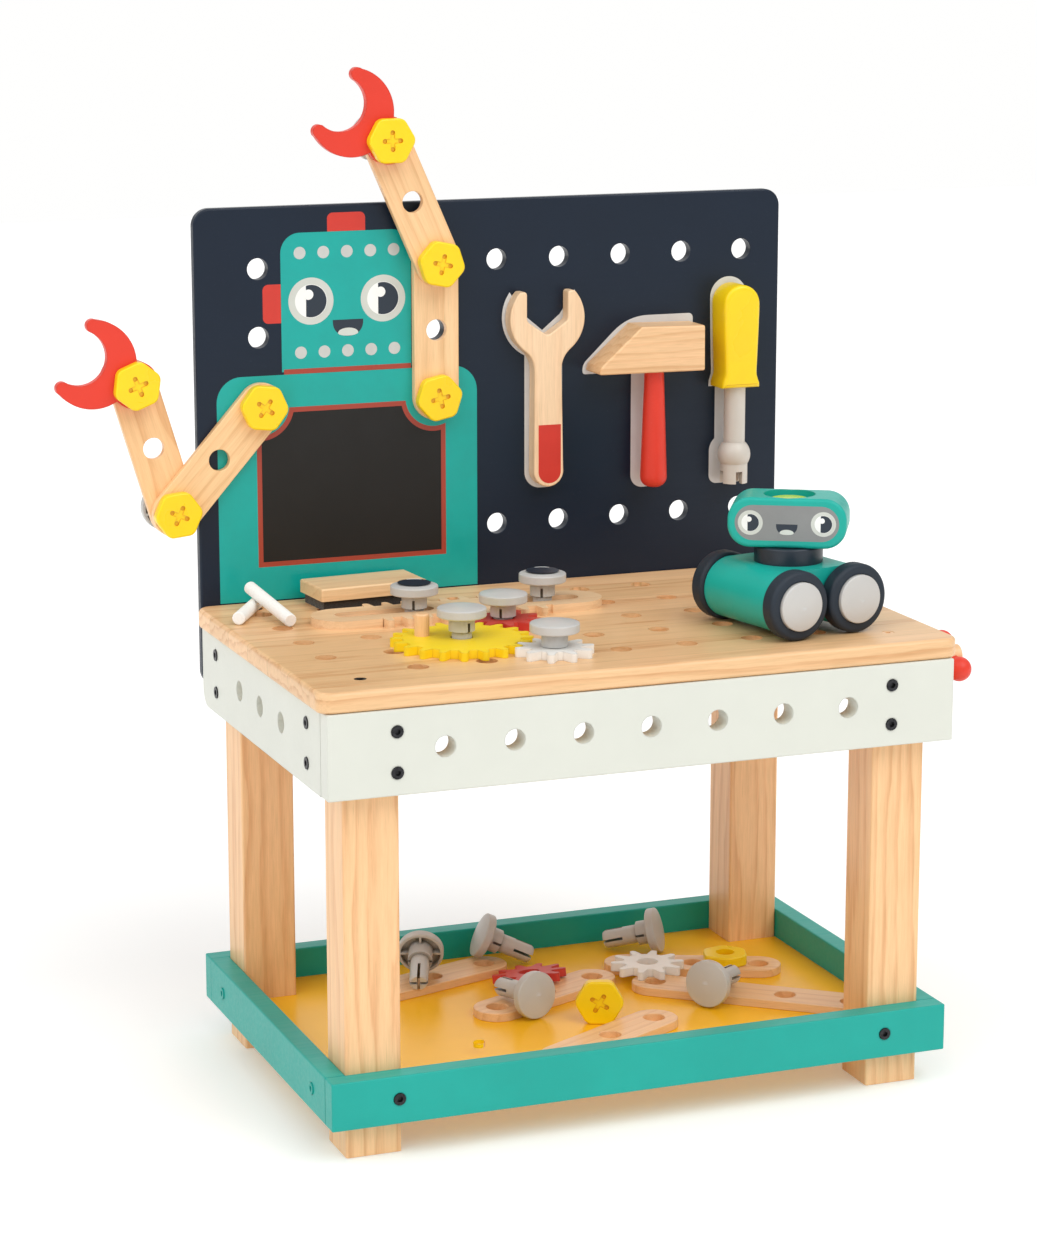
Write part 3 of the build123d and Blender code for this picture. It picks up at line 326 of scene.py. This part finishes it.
looks = {
    "tabletop": wood("table_pine", "F5C896", "CF8C50", ALONG_X, spacing=8, boldness=0.72, board_width=45),
    "left_upper_arm": wood("arm_pine_1", "FBD09B", "E0A468", arm_turn["left_upper_arm"], (0.1, 0, 0)),
    "left_forearm": wood("arm_pine_2", "FACB94", "D9985C", arm_turn["left_forearm"], (0.3, 0, 0), 5.5, 0.85),
    "right_lower_link": wood("arm_pine_3", "FCD4A2", "E2A96E", ALONG_Z, (0.6, 0, 0), 8),
    "right_forearm": wood("arm_pine_4", "FBCF9B", "DDA066", arm_turn["right_forearm"], (0.8, 0, 0)),
    "wrench": wood("wrench_beech", "FBD9B2", "E5B587", ALONG_Z, (1.1, 0, 0), 9, 0.4),
    "hammer_head": wood("hammer_beech", BEECH, BEECH_LINE, ALONG_X, (1.3, 0, 0), 6, 0.6),
    "rack": wood("rack_pine", "F3CFA4", "DCA873", ALONG_X, (1.6, 0, 0), 8, 0.45),
    "brush_block": wood("brush_beech", "F7D2A2", "E0A96F", (0, 0, radians(-4.5)), (1.9, 0, 0), 7, 0.45),
    "crank_knob": wood("knob_beech", BEECH, BEECH_LINE, ALONG_Z, (2.2, 0, 0), 6, 0.4),
    "back_rail": wood("rail_pine", "F8CB97", "D9935A", ALONG_X, (2.5, 0, 0)),
    "vise_jaw": wood("jaw_beech", BEECH, BEECH_LINE, ALONG_Y, (2.8, 0, 0)),
    "vise_screw": wood("screw_beech", BEECH, BEECH_LINE, ALONG_X, (3.0, 0, 0)),
    "apron_front": paint("pale_paint_x", "DADCD2", clouding=0.02),
    "back_panel": paint("navy_paint", "0B1C2F", wear=0.35, worn="56657A"),
    "tray_front": paint("teal_paint_x", "12A498", worn="5FC6BA"),
    "tray_floor": paint("floor_paint", "FBBF1E", worn="F6D27A", roughness=0.26, grain=0.02, clouding=0.03),
    "buggy_body": paint("buggy_teal", "18AC9E", worn="5FC6BA"),
    "buggy_neck": plastic("neck_navy", "1E2936", "0C1118"),
    "frame_bolts": steel_look("bolt_steel"),
    "panel_pegs": plastic("grey_plastic", "C6C5C2", "7F776C"),
    "panel_nuts": plastic("yellow_plastic", "FFD90C", "E39A00", 0.3),
    "left_claw": paint("red_paint", "E5402F", worn="F5A79B", wear=0.15),
    "drive_gear": paint("yellow_paint", "FFDD1E", worn="FFF3B0", wear=0.15),
    "white_gear": paint("white_paint", "F3F1EC", worn="FFFFFF", wear=0.15),
    "red_gear": paint("deep_red_paint", "D2453A", worn="F0A79B", wear=0.15),
    "brush_felt": felt_look("black_felt", "1B1815"),
    "chalk_a": chalk_look("white_chalk", "FBFAF6"),
    "buggy_wheel_1": rubber_look("navy_rubber", "1E2833"),
    "screwdriver_shaft": plastic("driver_grey", "D3CCC2", "8D8478"),
    "buggy_level": plastic("level_green", "C4DC3A", "8FA514", 0.2),
}
same = {
    "apron_front": ("apron_left", "apron_right"),
    "tray_front": ("tray_back", "tray_left", "tray_right"),
    "panel_pegs": ("table_pegs", "left_arm_pegs", "right_wrist_peg", "buggy_hub_pegs", "tray_pegs"),
    "panel_nuts": ("left_arm_nuts", "right_wrist_nut", "tray_nuts", "screwdriver_handle"),
    "left_claw": ("right_claw", "hammer_handle", "vise_handle"),
    "drive_gear": ("tray_yellow_gear",),
    "red_gear": ("tray_small_gears",),
    "chalk_a": ("chalk_b",),
    "buggy_body": ("buggy_head",),
    "rack": ("tray_links",),
    "buggy_wheel_1": ("buggy_wheel_2", "buggy_wheel_3", "buggy_wheel_4"),
}
for first, others in same.items():
    for other in others:
        looks[other] = looks[first]
for number, leg in enumerate(("front_left", "front_right", "back_left", "back_right")):
    grain_start = (0.7 * number, 0.021 * number, 0.013 * number)
    looks["leg_" + leg] = wood("leg_pine_" + leg, "F7C894", "D8935B", ALONG_Z, grain_start, 8, 0.7)
for name, material in looks.items():
    mesh = nodes[name].data
    mesh.materials.clear()
    mesh.materials.append(material)


# ------------------------------------------------------------------ piece builders
def arc(x, z, radius, start, end, count=16):
    """Points on an arc, with the angles in degrees."""
    steps = [radians(start + (end - start) * i / count) for i in range(count + 1)]
    return [(x + radius * cos(a), z + radius * sin(a)) for a in steps]


def ring(x, z, radius, count=48):
    return arc(x, z, radius, 0, 360, count)[:-1]


def rounded(x0, z0, x1, z1, radii):
    """A rectangle with its own corner radii, from the lower left corner anticlockwise."""
    if not isinstance(radii, (tuple, list)):
        radii = [radii] * 4
    corners = [(x0, z0, 180), (x1, z0, 270), (x1, z1, 0), (x0, z1, 90)]
    points = []
    for (x, z, angle), radius in zip(corners, radii):
        sx = 1 if x == x0 else -1
        sz = 1 if z == z0 else -1
        if radius:
            points += arc(x + sx * radius, z + sz * radius, radius, angle, angle + 90, 10)
        else:
            points.append((x, z))
    return points


FACING_FRONT = Matrix.Rotation(pi / 2, 4, "X")


def filled(name, outlines, depth, edge=0):
    """A mesh that fills the outlines, centred on their plane, with its rims rounded by edge millimetres."""
    curve = bpy.data.curves.new(name, "CURVE")
    curve.dimensions = "2D"
    curve.fill_mode = "BOTH"
    curve.extrude = (depth / 2 - edge) * MM
    curve.bevel_depth = edge * MM
    curve.bevel_resolution = 5
    curve.offset = -edge * MM
    for outline in outlines:
        spline = curve.splines.new("POLY")
        spline.points.add(len(outline) - 1)
        for point, (u, v) in zip(spline.points, outline):
            point.co = (u * MM, v * MM, 0, 1)
        spline.use_cyclic_u = True
    source = bpy.data.objects.new(name + "_curve", curve)
    bpy.context.scene.collection.objects.link(source)
    mesh = bpy.data.meshes.new_from_object(source.evaluated_get(bpy.context.evaluated_depsgraph_get()))
    bpy.data.objects.remove(source)
    bpy.data.curves.remove(curve)
    return mesh


def add_piece(name, mesh, body, material):
    """A new object with one material, riding on a body."""
    mesh.materials.clear()
    mesh.materials.append(material)
    piece = bpy.data.objects.new(name, mesh)
    bpy.context.scene.collection.objects.link(piece)
    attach(piece, body)
    return piece


def stand_in(name, mesh, node, body, material):
    """A piece that takes the place of a CAD node or of one solid in it."""
    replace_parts(add_piece(name, mesh, body, material), node)


def print_plate(name, outlines, material, base, depth, body, place):
    """A thin printed layer, from base to base + depth millimetres in front of the surface at place."""
    mesh = filled(name, outlines, depth)
    mesh.transform(place @ Matrix.Translation((0, 0, (base + depth / 2) * MM)))
    add_piece(name, mesh, body, material)


# ------------------------------------------------------------------ print on the back panel
teal_ink = ink("teal_ink", "00A9A1")
red_ink = ink("red_ink", "D3372A")
border_ink = ink("border_ink", "A8402E")
grey_ink = ink("grey_ink", "C9CBC8", 0.4)
white_ink = ink("white_ink", "F6F8F6")
dark_ink = ink("dark_ink", "222E3C")
tongue_ink = ink("tongue_ink", "D3D9D2")
eye_ring_ink = ink("eye_ring_ink", "CFD3CC", 0.4)
board_ink = ink("board_ink", "070606", 0.45)
face_ink = ink("face_grey_ink", "8A8C8C", 0.4)

LAYER = 0.035
LEFT_SHOULDER, RIGHT_SHOULDER, SHOULDER_Z = -175.3, -47, 451.3
SHOULDER_HOLE = 7.6
panel_place = Matrix.Translation(at(0, panel_front, 0)) @ FACING_FRONT


def panel_print(name, outlines, material, level):
    """A printed layer on the panel's front; a higher level lies over a lower one."""
    print_plate("print_" + name, outlines, material, LAYER * level, LAYER, "bench", panel_place)


body_outline = rounded(-206.3, table_top + 0.3, -14.7, 472, (0, 0, 18, 18))
shoulder_holes = [ring(x, SHOULDER_Z, SHOULDER_HOLE, 40) for x in (LEFT_SHOULDER, RIGHT_SHOULDER)]
panel_print("body", [body_outline] + shoulder_holes, teal_ink, 0)
panel_print("head", [rounded(-158.8, 473.8, -63.7, 570, (0, 0, 14, 14))], teal_ink, 0)
panel_print("antenna", [rounded(-124.7, 570.1, -97, 583, (0, 0, 4, 4))], red_ink, 0)
panel_print("ear", [rounded(-172, 508, -158.9, 535, (4, 0, 0, 4))], red_ink, 0)
panel_print("neck_line", [rounded(-157.4, 472.1, -64.1, 475.6, 0)], border_ink, 1)
FIRST_RIVET, RIVET_STEP, RIVET_RADIUS = -144.9, 17.15, 4.3
for row, z in enumerate((556, 486.8)):
    for column in range(5):
        rivet = ring(FIRST_RIVET + RIVET_STEP * column, z, RIVET_RADIUS, 28)
        panel_print(f"rivet_{row}_{column}", [rivet], grey_ink, 1)


def notched(x0, z0, x1, z1, notch):
    """A board outline whose upper corners are cut by a circle round each shoulder."""
    rise = z1 - SHOULDER_Z
    points = [(x0, z0), (x1, z0)]
    for hole_x, edge_x, side in ((RIGHT_SHOULDER, x1, 1), (LEFT_SHOULDER, x0, -1)):
        out = edge_x - hole_x
        drop = (notch**2 - out**2) ** 0.5
        reach = -side * (notch**2 - rise**2) ** 0.5
        on_side = degrees(atan2(-drop, out))
        on_top = degrees(atan2(rise, reach))
        if on_top > 0:
            on_top -= 360
        cut = arc(hole_x, SHOULDER_Z, notch, on_side, on_top, 14)
        points += cut if side > 0 else cut[::-1]
    return points


BORDER = 3.5
BOARD = (-174.5, 340.5, -42, 445.5)
board_low, board_high = [value - BORDER for value in BOARD[:2]], [value + BORDER for value in BOARD[2:]]
panel_print("board_border", [notched(*board_low, *board_high, 25 - BORDER)], border_ink, 1)
panel_print("board", [notched(*BOARD, 25)], board_ink, 2)


def eye(name, x, z, radius, panel, level):
    """A round cartoon eye: pale ring, white iris cut by a dark D-shaped pupil, and a glint."""
    inner = radius * 0.71
    pupil_edge = degrees(acos(-0.32))
    pupil = arc(x, z, inner * 0.97, -pupil_edge, pupil_edge, 40)
    glint = ring(x - inner * 0.16, z + inner * 0.39, inner * 0.31, 24)
    panel(name + "_ring", [ring(x, z, radius)], eye_ring_ink, level)
    panel(name + "_iris", [ring(x, z, inner)], white_ink, level + 1)
    panel(name + "_pupil", [pupil], dark_ink, level + 2)
    panel(name + "_glint", [glint], white_ink, level + 3)


def mouth(name, x, z, half_wide, depth, panel, level):
    """An open smile with a pale tongue along its lower edge."""
    steps = [pi * i / 24 for i in range(25)]
    smile = [(x + half_wide * cos(t), z - depth * sin(t) ** 0.75) for t in steps]
    panel(name, [smile], dark_ink, level)
    tongue = [(x + 0.66 * half_wide * cos(t), z - depth * (0.8 - 0.3 * sin(t))) for t in steps]
    tongue += [(x - 0.66 * half_wide * cos(t), z - depth * (0.8 + 0.18 * sin(t))) for t in steps[1:-1]]
    panel(name + "_tongue", [tongue], tongue_ink, level + 1)


eye("eye_left", -137.1, 522.4, 16.4, panel_print, 1)
eye("eye_right", -84.4, 522.2, 16.4, panel_print, 1)
mouth("mouth", -110.3, 508.5, 11.2, 11.6, panel_print, 1)

# Pale outlines behind the hanging tools, wider than each tool by MARGIN
outline_ink = ink("outline_ink", "D5D7D8", 0.45)
MARGIN = 2.2
HEAD_RISE = 4.6
OVERLAP = 0.4


def softened(corners):
    """A polygon from (x, z, cut) corners, each cut back by its own length and rounded."""
    outline = []
    for index, (x, z, cut) in enumerate(corners):
        corner = Vector((x, z))
        before = Vector(corners[index - 1][:2])
        after = Vector(corners[(index + 1) % len(corners)][:2])
        start = corner + (before - corner).normalized() * cut
        end = corner + (after - corner).normalized() * cut
        for step in range(9):
            t = step / 8
            outline.append(tuple((1 - t) ** 2 * start + 2 * t * (1 - t) * corner + t * t * end))
    return outline


def grip_outline(x, bottom, side, cap_radius, cap_z):
    """The screwdriver's grip from its half widths up one side, a round cap, and the same down the other."""
    points = [(x + across, bottom + up) for across, up in side + arc(0, cap_z, cap_radius, 0, 180, 24)]
    return points + [(x - across, bottom + up) for across, up in reversed(side)]


left, right, bottom, _ = bench_span("wrench")
JAW_HEIGHT, JAW_HALF, JAW_FLOOR = 121.5, 15.6, 10
jaw_x, jaw_z = (left + right) / 2, bottom + JAW_HEIGHT
jaw_lip = JAW_HALF - MARGIN
crescent = arc(jaw_x, jaw_z, (right - left) / 2 + MARGIN, 36, -216, 48)
crescent += [(jaw_x - jaw_lip, jaw_z + 1), (jaw_x, jaw_z - JAW_FLOOR), (jaw_x + jaw_lip, jaw_z + 1)]
handle_left, handle_right = jaw_x - 11.3 - MARGIN, jaw_x + 13.2 + MARGIN
handle = rounded(handle_left, bottom - MARGIN, handle_right, jaw_z - 15, (12, 12, 0, 0))
panel_print("wrench_head_outline", [crescent], outline_ink, 0)
panel_print("wrench_handle_outline", [handle], outline_ink, OVERLAP)

left, right, bottom, top = bench_span("hammer_head")
head_corners = [
    (left - MARGIN, bottom - MARGIN, 2.5),
    (right + MARGIN, bottom - MARGIN, 2.5),
    (right + MARGIN, top + HEAD_RISE, 4),
    (left + 0.4 * (right - left), top + HEAD_RISE, 16),
    (left - MARGIN, bottom + 5, 4),
]
panel_print("hammer_head_outline", [softened(head_corners)], outline_ink, 0)
left, right, low, _ = bench_span("hammer_handle")
handle = rounded(left - MARGIN, low - MARGIN, right + MARGIN, bottom, (9, 9, 0, 0))
panel_print("hammer_handle_outline", [handle], outline_ink, OVERLAP)

left, right, bottom, _ = bench_span("screwdriver_handle")
grip_x = (left + right) / 2
print_side = [(15.2, -1.2), (15, 3), (13.4, 8), (13.2, 12), (13.6, 20), (14.2, 42), (14.5, 57)]
panel_print("driver_grip_outline", [grip_outline(grip_x, bottom, print_side, 14.5, 64)], outline_ink, 0)
left, right, low, _ = bench_span("screwdriver_shaft")
TIP_HEIGHT, SHAFT_INSET = 34, 2
tip = rounded(left - MARGIN, low - MARGIN, right + MARGIN, low + TIP_HEIGHT, (6, 6, 12, 12))
shaft = rounded(left + SHAFT_INSET, low + 20, right - SHAFT_INSET, bottom, 0)
panel_print("driver_tip_outline", [tip], outline_ink, 0)
panel_print("driver_shaft_outline", [shaft], outline_ink, OVERLAP)

# Red end of the wrench handle
wrench_place = Matrix.Translation((bench_x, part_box("wrench")[0].y, 0)) @ FACING_FRONT
red_end = rounded(27.9, 385.2, 45, 427.5, (8.4, 8.4, 0, 0))
print_plate("wrench_red_end", [red_end], red_ink, 0, 0.08, "wrench", wrench_place)

# ------------------------------------------------------------------ print on the buggy and the rack's pegs
head_turn = radians(-30)
HEAD_HALF_DEPTH = 19
head_low, head_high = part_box("buggy_head")
face_normal = Vector((sin(head_turn), -cos(head_turn), 0))
face_middle = (head_low + head_high) / 2 + face_normal * HEAD_HALF_DEPTH * MM
face_place = Matrix.Translation(face_middle) @ Matrix.Rotation(head_turn, 4, "Z") @ FACING_FRONT


def face_print(name, outlines, material, level):
    """A printed layer on the front of the buggy's head."""
    base = LAYER * level
    print_plate("buggy_" + name, outlines, material, base, LAYER, "buggy_head", face_place)


FACE_HALF_WIDE, FACE_HALF_HIGH, EYE_SPREAD = 35, 12, 24.5
plate = rounded(-FACE_HALF_WIDE, -FACE_HALF_HIGH, FACE_HALF_WIDE, FACE_HALF_HIGH, FACE_HALF_HIGH)
face_print("face_plate", [plate], face_ink, 0)
for side, x in (("left", -EYE_SPREAD), ("right", EYE_SPREAD)):
    eye("eye_" + side, x, 0, 8.4, face_print, 1)
mouth("mouth", 0, -0.6, 7.2, 7.4, face_print, 1)

# The rack's two pegs look up with an eye each: a dark disc and a crescent of light
rack_low, rack_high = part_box("rack")
rack_y = (rack_low.y + rack_high.y) / 2
EYE_TURN = radians(-19)
EYE_LAYER = 0.05
RACK_THICKNESS = 6
HEAD_HEIGHT = 17.3


def peg_print(name, x, head_top, outlines, material, level):
    """A printed layer on the flat of a peg's head, facing up."""
    middle = Vector((bench_x + x * MM, rack_y, head_top * MM))
    place = Matrix.Translation(middle) @ Matrix.Rotation(EYE_TURN, 4, "Z")
    print_plate(name, outlines, material, EYE_LAYER * level, EYE_LAYER, "bench", place)


for side, x, lift in (("left", -94.4, 1.5), ("right", 0, 3)):
    head_top = table_top + RACK_THICKNESS + lift + HEAD_HEIGHT
    glint = arc(0, 0, 10.4, 62, 118, 16) + arc(0, 3.2, 8.6, 128, 52, 16)
    peg_print("peg_eye_" + side, x, head_top, [ring(0, 0, 11.5)], dark_ink, 0)
    peg_print("peg_glint_" + side, x, head_top, [glint], white_ink, 1)


# ------------------------------------------------------------------ loose pieces with looks of their own
def copy_of(name, faces):
    """The centre and the mesh of a copy of the faces, smooth but for its sharp edges."""
    part = bmesh.new()
    copies = {}
    for face in faces:
        for vertex in face.verts:
            if vertex not in copies:
                copies[vertex] = part.verts.new(vertex.co)
        part.faces.new([copies[vertex] for vertex in face.verts]).smooth = True
    mesh = bpy.data.meshes.new(name)
    part.to_mesh(mesh)
    part.free()
    mesh.set_sharp_from_angle(angle=radians(32))
    centre = sum((vertex.co for vertex in mesh.vertices), Vector()) / len(mesh.vertices)
    return centre, mesh


def islands(name):
    """Each closed shell of a CAD node, a solid's outside or a pocket in it, as its centre and own mesh."""
    whole = bmesh.new()
    whole.from_mesh(nodes[name].data)
    bmesh.ops.remove_doubles(whole, verts=whole.verts, dist=1e-6)
    whole.faces.index_update()
    waiting = set(whole.faces)
    found = []
    while waiting:
        solid, frontier = set(), [next(iter(waiting))]
        while frontier:
            face = frontier.pop()
            if face not in solid:
                solid.add(face)
                frontier += [other for edge in face.edges for other in edge.link_faces]
        waiting -= solid
        found.append(copy_of(name, sorted(solid, key=lambda face: face.index)))
    whole.free()
    return sorted(found, key=lambda item: [round(value, 5) for value in item[0]])


# The loose links, each with the grain along its length
for number, (centre, mesh) in enumerate(islands("tray_links")):
    gaps = [vertex.co - centre for vertex in mesh.vertices]
    reach = max(gaps, key=lambda gap: (round(gap.length, 5), gap.x))
    turn = (0, 0, -atan2(reach.y, reach.x))
    start = (0.4 * number, 0, 0.01 * number)
    grain = wood(f"tray_link_pine_{number}", "F3C796", "D49A62", turn, start, 7, 0.6)
    stand_in(f"tray_link_{number}", mesh, "tray_links", "loose_pieces", grain)

# The two small gears in the tray: the one on the left is red, the other white
RED_SIDE = 40
for number, (centre, mesh) in enumerate(islands("tray_small_gears")):
    colour = "red" if centre.x < bench_x + RED_SIDE * MM else "white"
    gear_look = looks[colour + "_gear"]
    stand_in(f"tray_gear_{number}", mesh, "tray_small_gears", "loose_pieces", gear_look)

# The screwdriver's grip: a flared square handle with a round top and soft edges
grip_low, grip_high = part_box("screwdriver_handle")
GRIP_EDGE = 2.8
grip_side = [(14.7, 0), (14.7, 3), (13.6, 6), (12.6, 9), (12.4, 12), (12.7, 18), (13.6, 42), (14.0, 56)]
outline = grip_outline(grip_x, grip_low.z / MM, grip_side, 14.0, 60.5)
mesh = filled("driver_grip", [outline], (grip_high.y - grip_low.y) / MM, GRIP_EDGE)
mesh.transform(Matrix.Translation((bench_x, (grip_low.y + grip_high.y) / 2, 0)) @ FACING_FRONT)
mesh.shade_smooth()
mesh.set_sharp_from_angle(angle=radians(40))
grip_look = looks["screwdriver_handle"]
stand_in("driver_grip", mesh, "screwdriver_handle", "screwdriver", grip_look)

# The big gear in the tray, with a wooden knob above its face. Known fault: the node's last shell is the
# pocket closed in under the knob, not the gear, so the gear itself doesn't show
KNOB_START = 3.2
mesh = islands("tray_yellow_gear")[-1][1]
widest = max(mesh.polygons, key=lambda face: face.area)
gear_normal = widest.normal if widest.normal.z > 0 else -widest.normal
levels = sorted(vertex.co.dot(gear_normal) for vertex in mesh.vertices)
knob_level = levels[len(levels) // 2] + KNOB_START * MM
stand_in("tray_gear_big", mesh, "tray_yellow_gear", "loose_pieces", looks["tray_yellow_gear"])
mesh.materials.append(looks["crank_knob"])
for face in mesh.polygons:
    if face.center.dot(gear_normal) > knob_level:
        face.material_index = 1

# The bolts: teal plugs in the tray's ends, pale ones in the tabletop's right half, the rest blackened steel
TRAY_TOP, TRAY_HALF, TABLETOP_LEVEL = 100, 200, 300
for number, (centre, mesh) in enumerate(islands("frame_bolts")):
    material = looks["frame_bolts"]
    if centre.z < TRAY_TOP * MM and abs(centre.x - bench_x) > TRAY_HALF * MM:
        material = looks["tray_front"]
    elif centre.z > TABLETOP_LEVEL * MM and centre.x > bench_x:
        material = looks["crank_knob"]
    stand_in(f"bolt_{number}", mesh, "frame_bolts", "bench", material)

# ------------------------------------------------------------------ camera, light and floor
camera_data = bpy.data.cameras.new("photo_camera")
camera_data.sensor_width = 36
camera_data.lens = 97.9536
camera_data.shift_x = -0.0009
camera_data.shift_y = -0.0027
camera_data.clip_end = 20
camera = bpy.data.objects.new("photo_camera", camera_data)
camera.location = at(-842.792, -1943.771, 804.534)
camera.rotation_euler = (1.35705, 0.000581, -0.368976)
bpy.context.scene.collection.objects.link(camera)
bpy.context.scene.camera = camera


def sun(name, direction, strength, softness):
    """A soft, far light that shines from the given direction."""
    light = bpy.data.lights.new(name, "SUN")
    light.energy = strength
    light.angle = radians(softness)
    lamp = bpy.data.objects.new(name, light)
    lamp.location = Vector(direction) * 3
    lamp.rotation_euler = Vector(direction).to_track_quat("Z", "Y").to_euler()
    bpy.context.scene.collection.objects.link(lamp)


sun("key", (0.35, -0.75, 1.0), 1.3, 45)
sun("fill", (-0.75, -0.35, 0.8), 1.05, 60)
sun("rear", (0.3, 0.9, 0.7), 0.4, 70)

# The backdrop looks white to the camera and lights the scene at a lower strength
SEEN_STRENGTH, LIGHT_STRENGTH = 1.0, 0.52
world = bpy.data.worlds.new("studio")
world.use_nodes = True
sky = world.node_tree
background = sky.nodes["Background"]
background.inputs["Color"].default_value = (1.0, 0.998, 0.992, 1)
ray = sky.nodes.new("ShaderNodeLightPath")
level = sky.nodes.new("ShaderNodeMapRange")
level.inputs["To Min"].default_value = LIGHT_STRENGTH
level.inputs["To Max"].default_value = SEEN_STRENGTH
sky.links.new(ray.outputs["Is Camera Ray"], level.inputs["Value"])
sky.links.new(level.outputs[0], background.inputs["Strength"])
bpy.context.scene.world = world
bpy.context.scene.view_settings.view_transform = "Standard"

FLOOR_HALF_WIDTH, FLOOR_DROP = 6, 0.4
floor_mesh = bpy.data.meshes.new("floor")
net = bmesh.new()
bmesh.ops.create_grid(net, x_segments=24, y_segments=24, size=FLOOR_HALF_WIDTH)
net.to_mesh(floor_mesh)
net.free()
floor = bpy.data.objects.new("floor", floor_mesh)
floor.location.z = -FLOOR_DROP * MM
bpy.context.scene.collection.objects.link(floor)
floor_look = Shader("floor_paper", 0.7, 0.1)
floor_look.set("Emission Color", (1, 1, 0.99, 1))
floor_look.set("Emission Strength", 0.16)
floor_place = floor_look.coords()
paper = floor_look.noise(floor_place, 14.0, 4.0, 0.5)
floor_look.set("Base Color", floor_look.mix(paper, (0.92, 0.915, 0.905, 1), (0.95, 0.945, 0.935, 1)))
floor_look.set("Normal", floor_look.bump(floor_look.noise(floor_place, 700.0), 0.03, 0.0002))
floor_mesh.materials.append(floor_look.material)
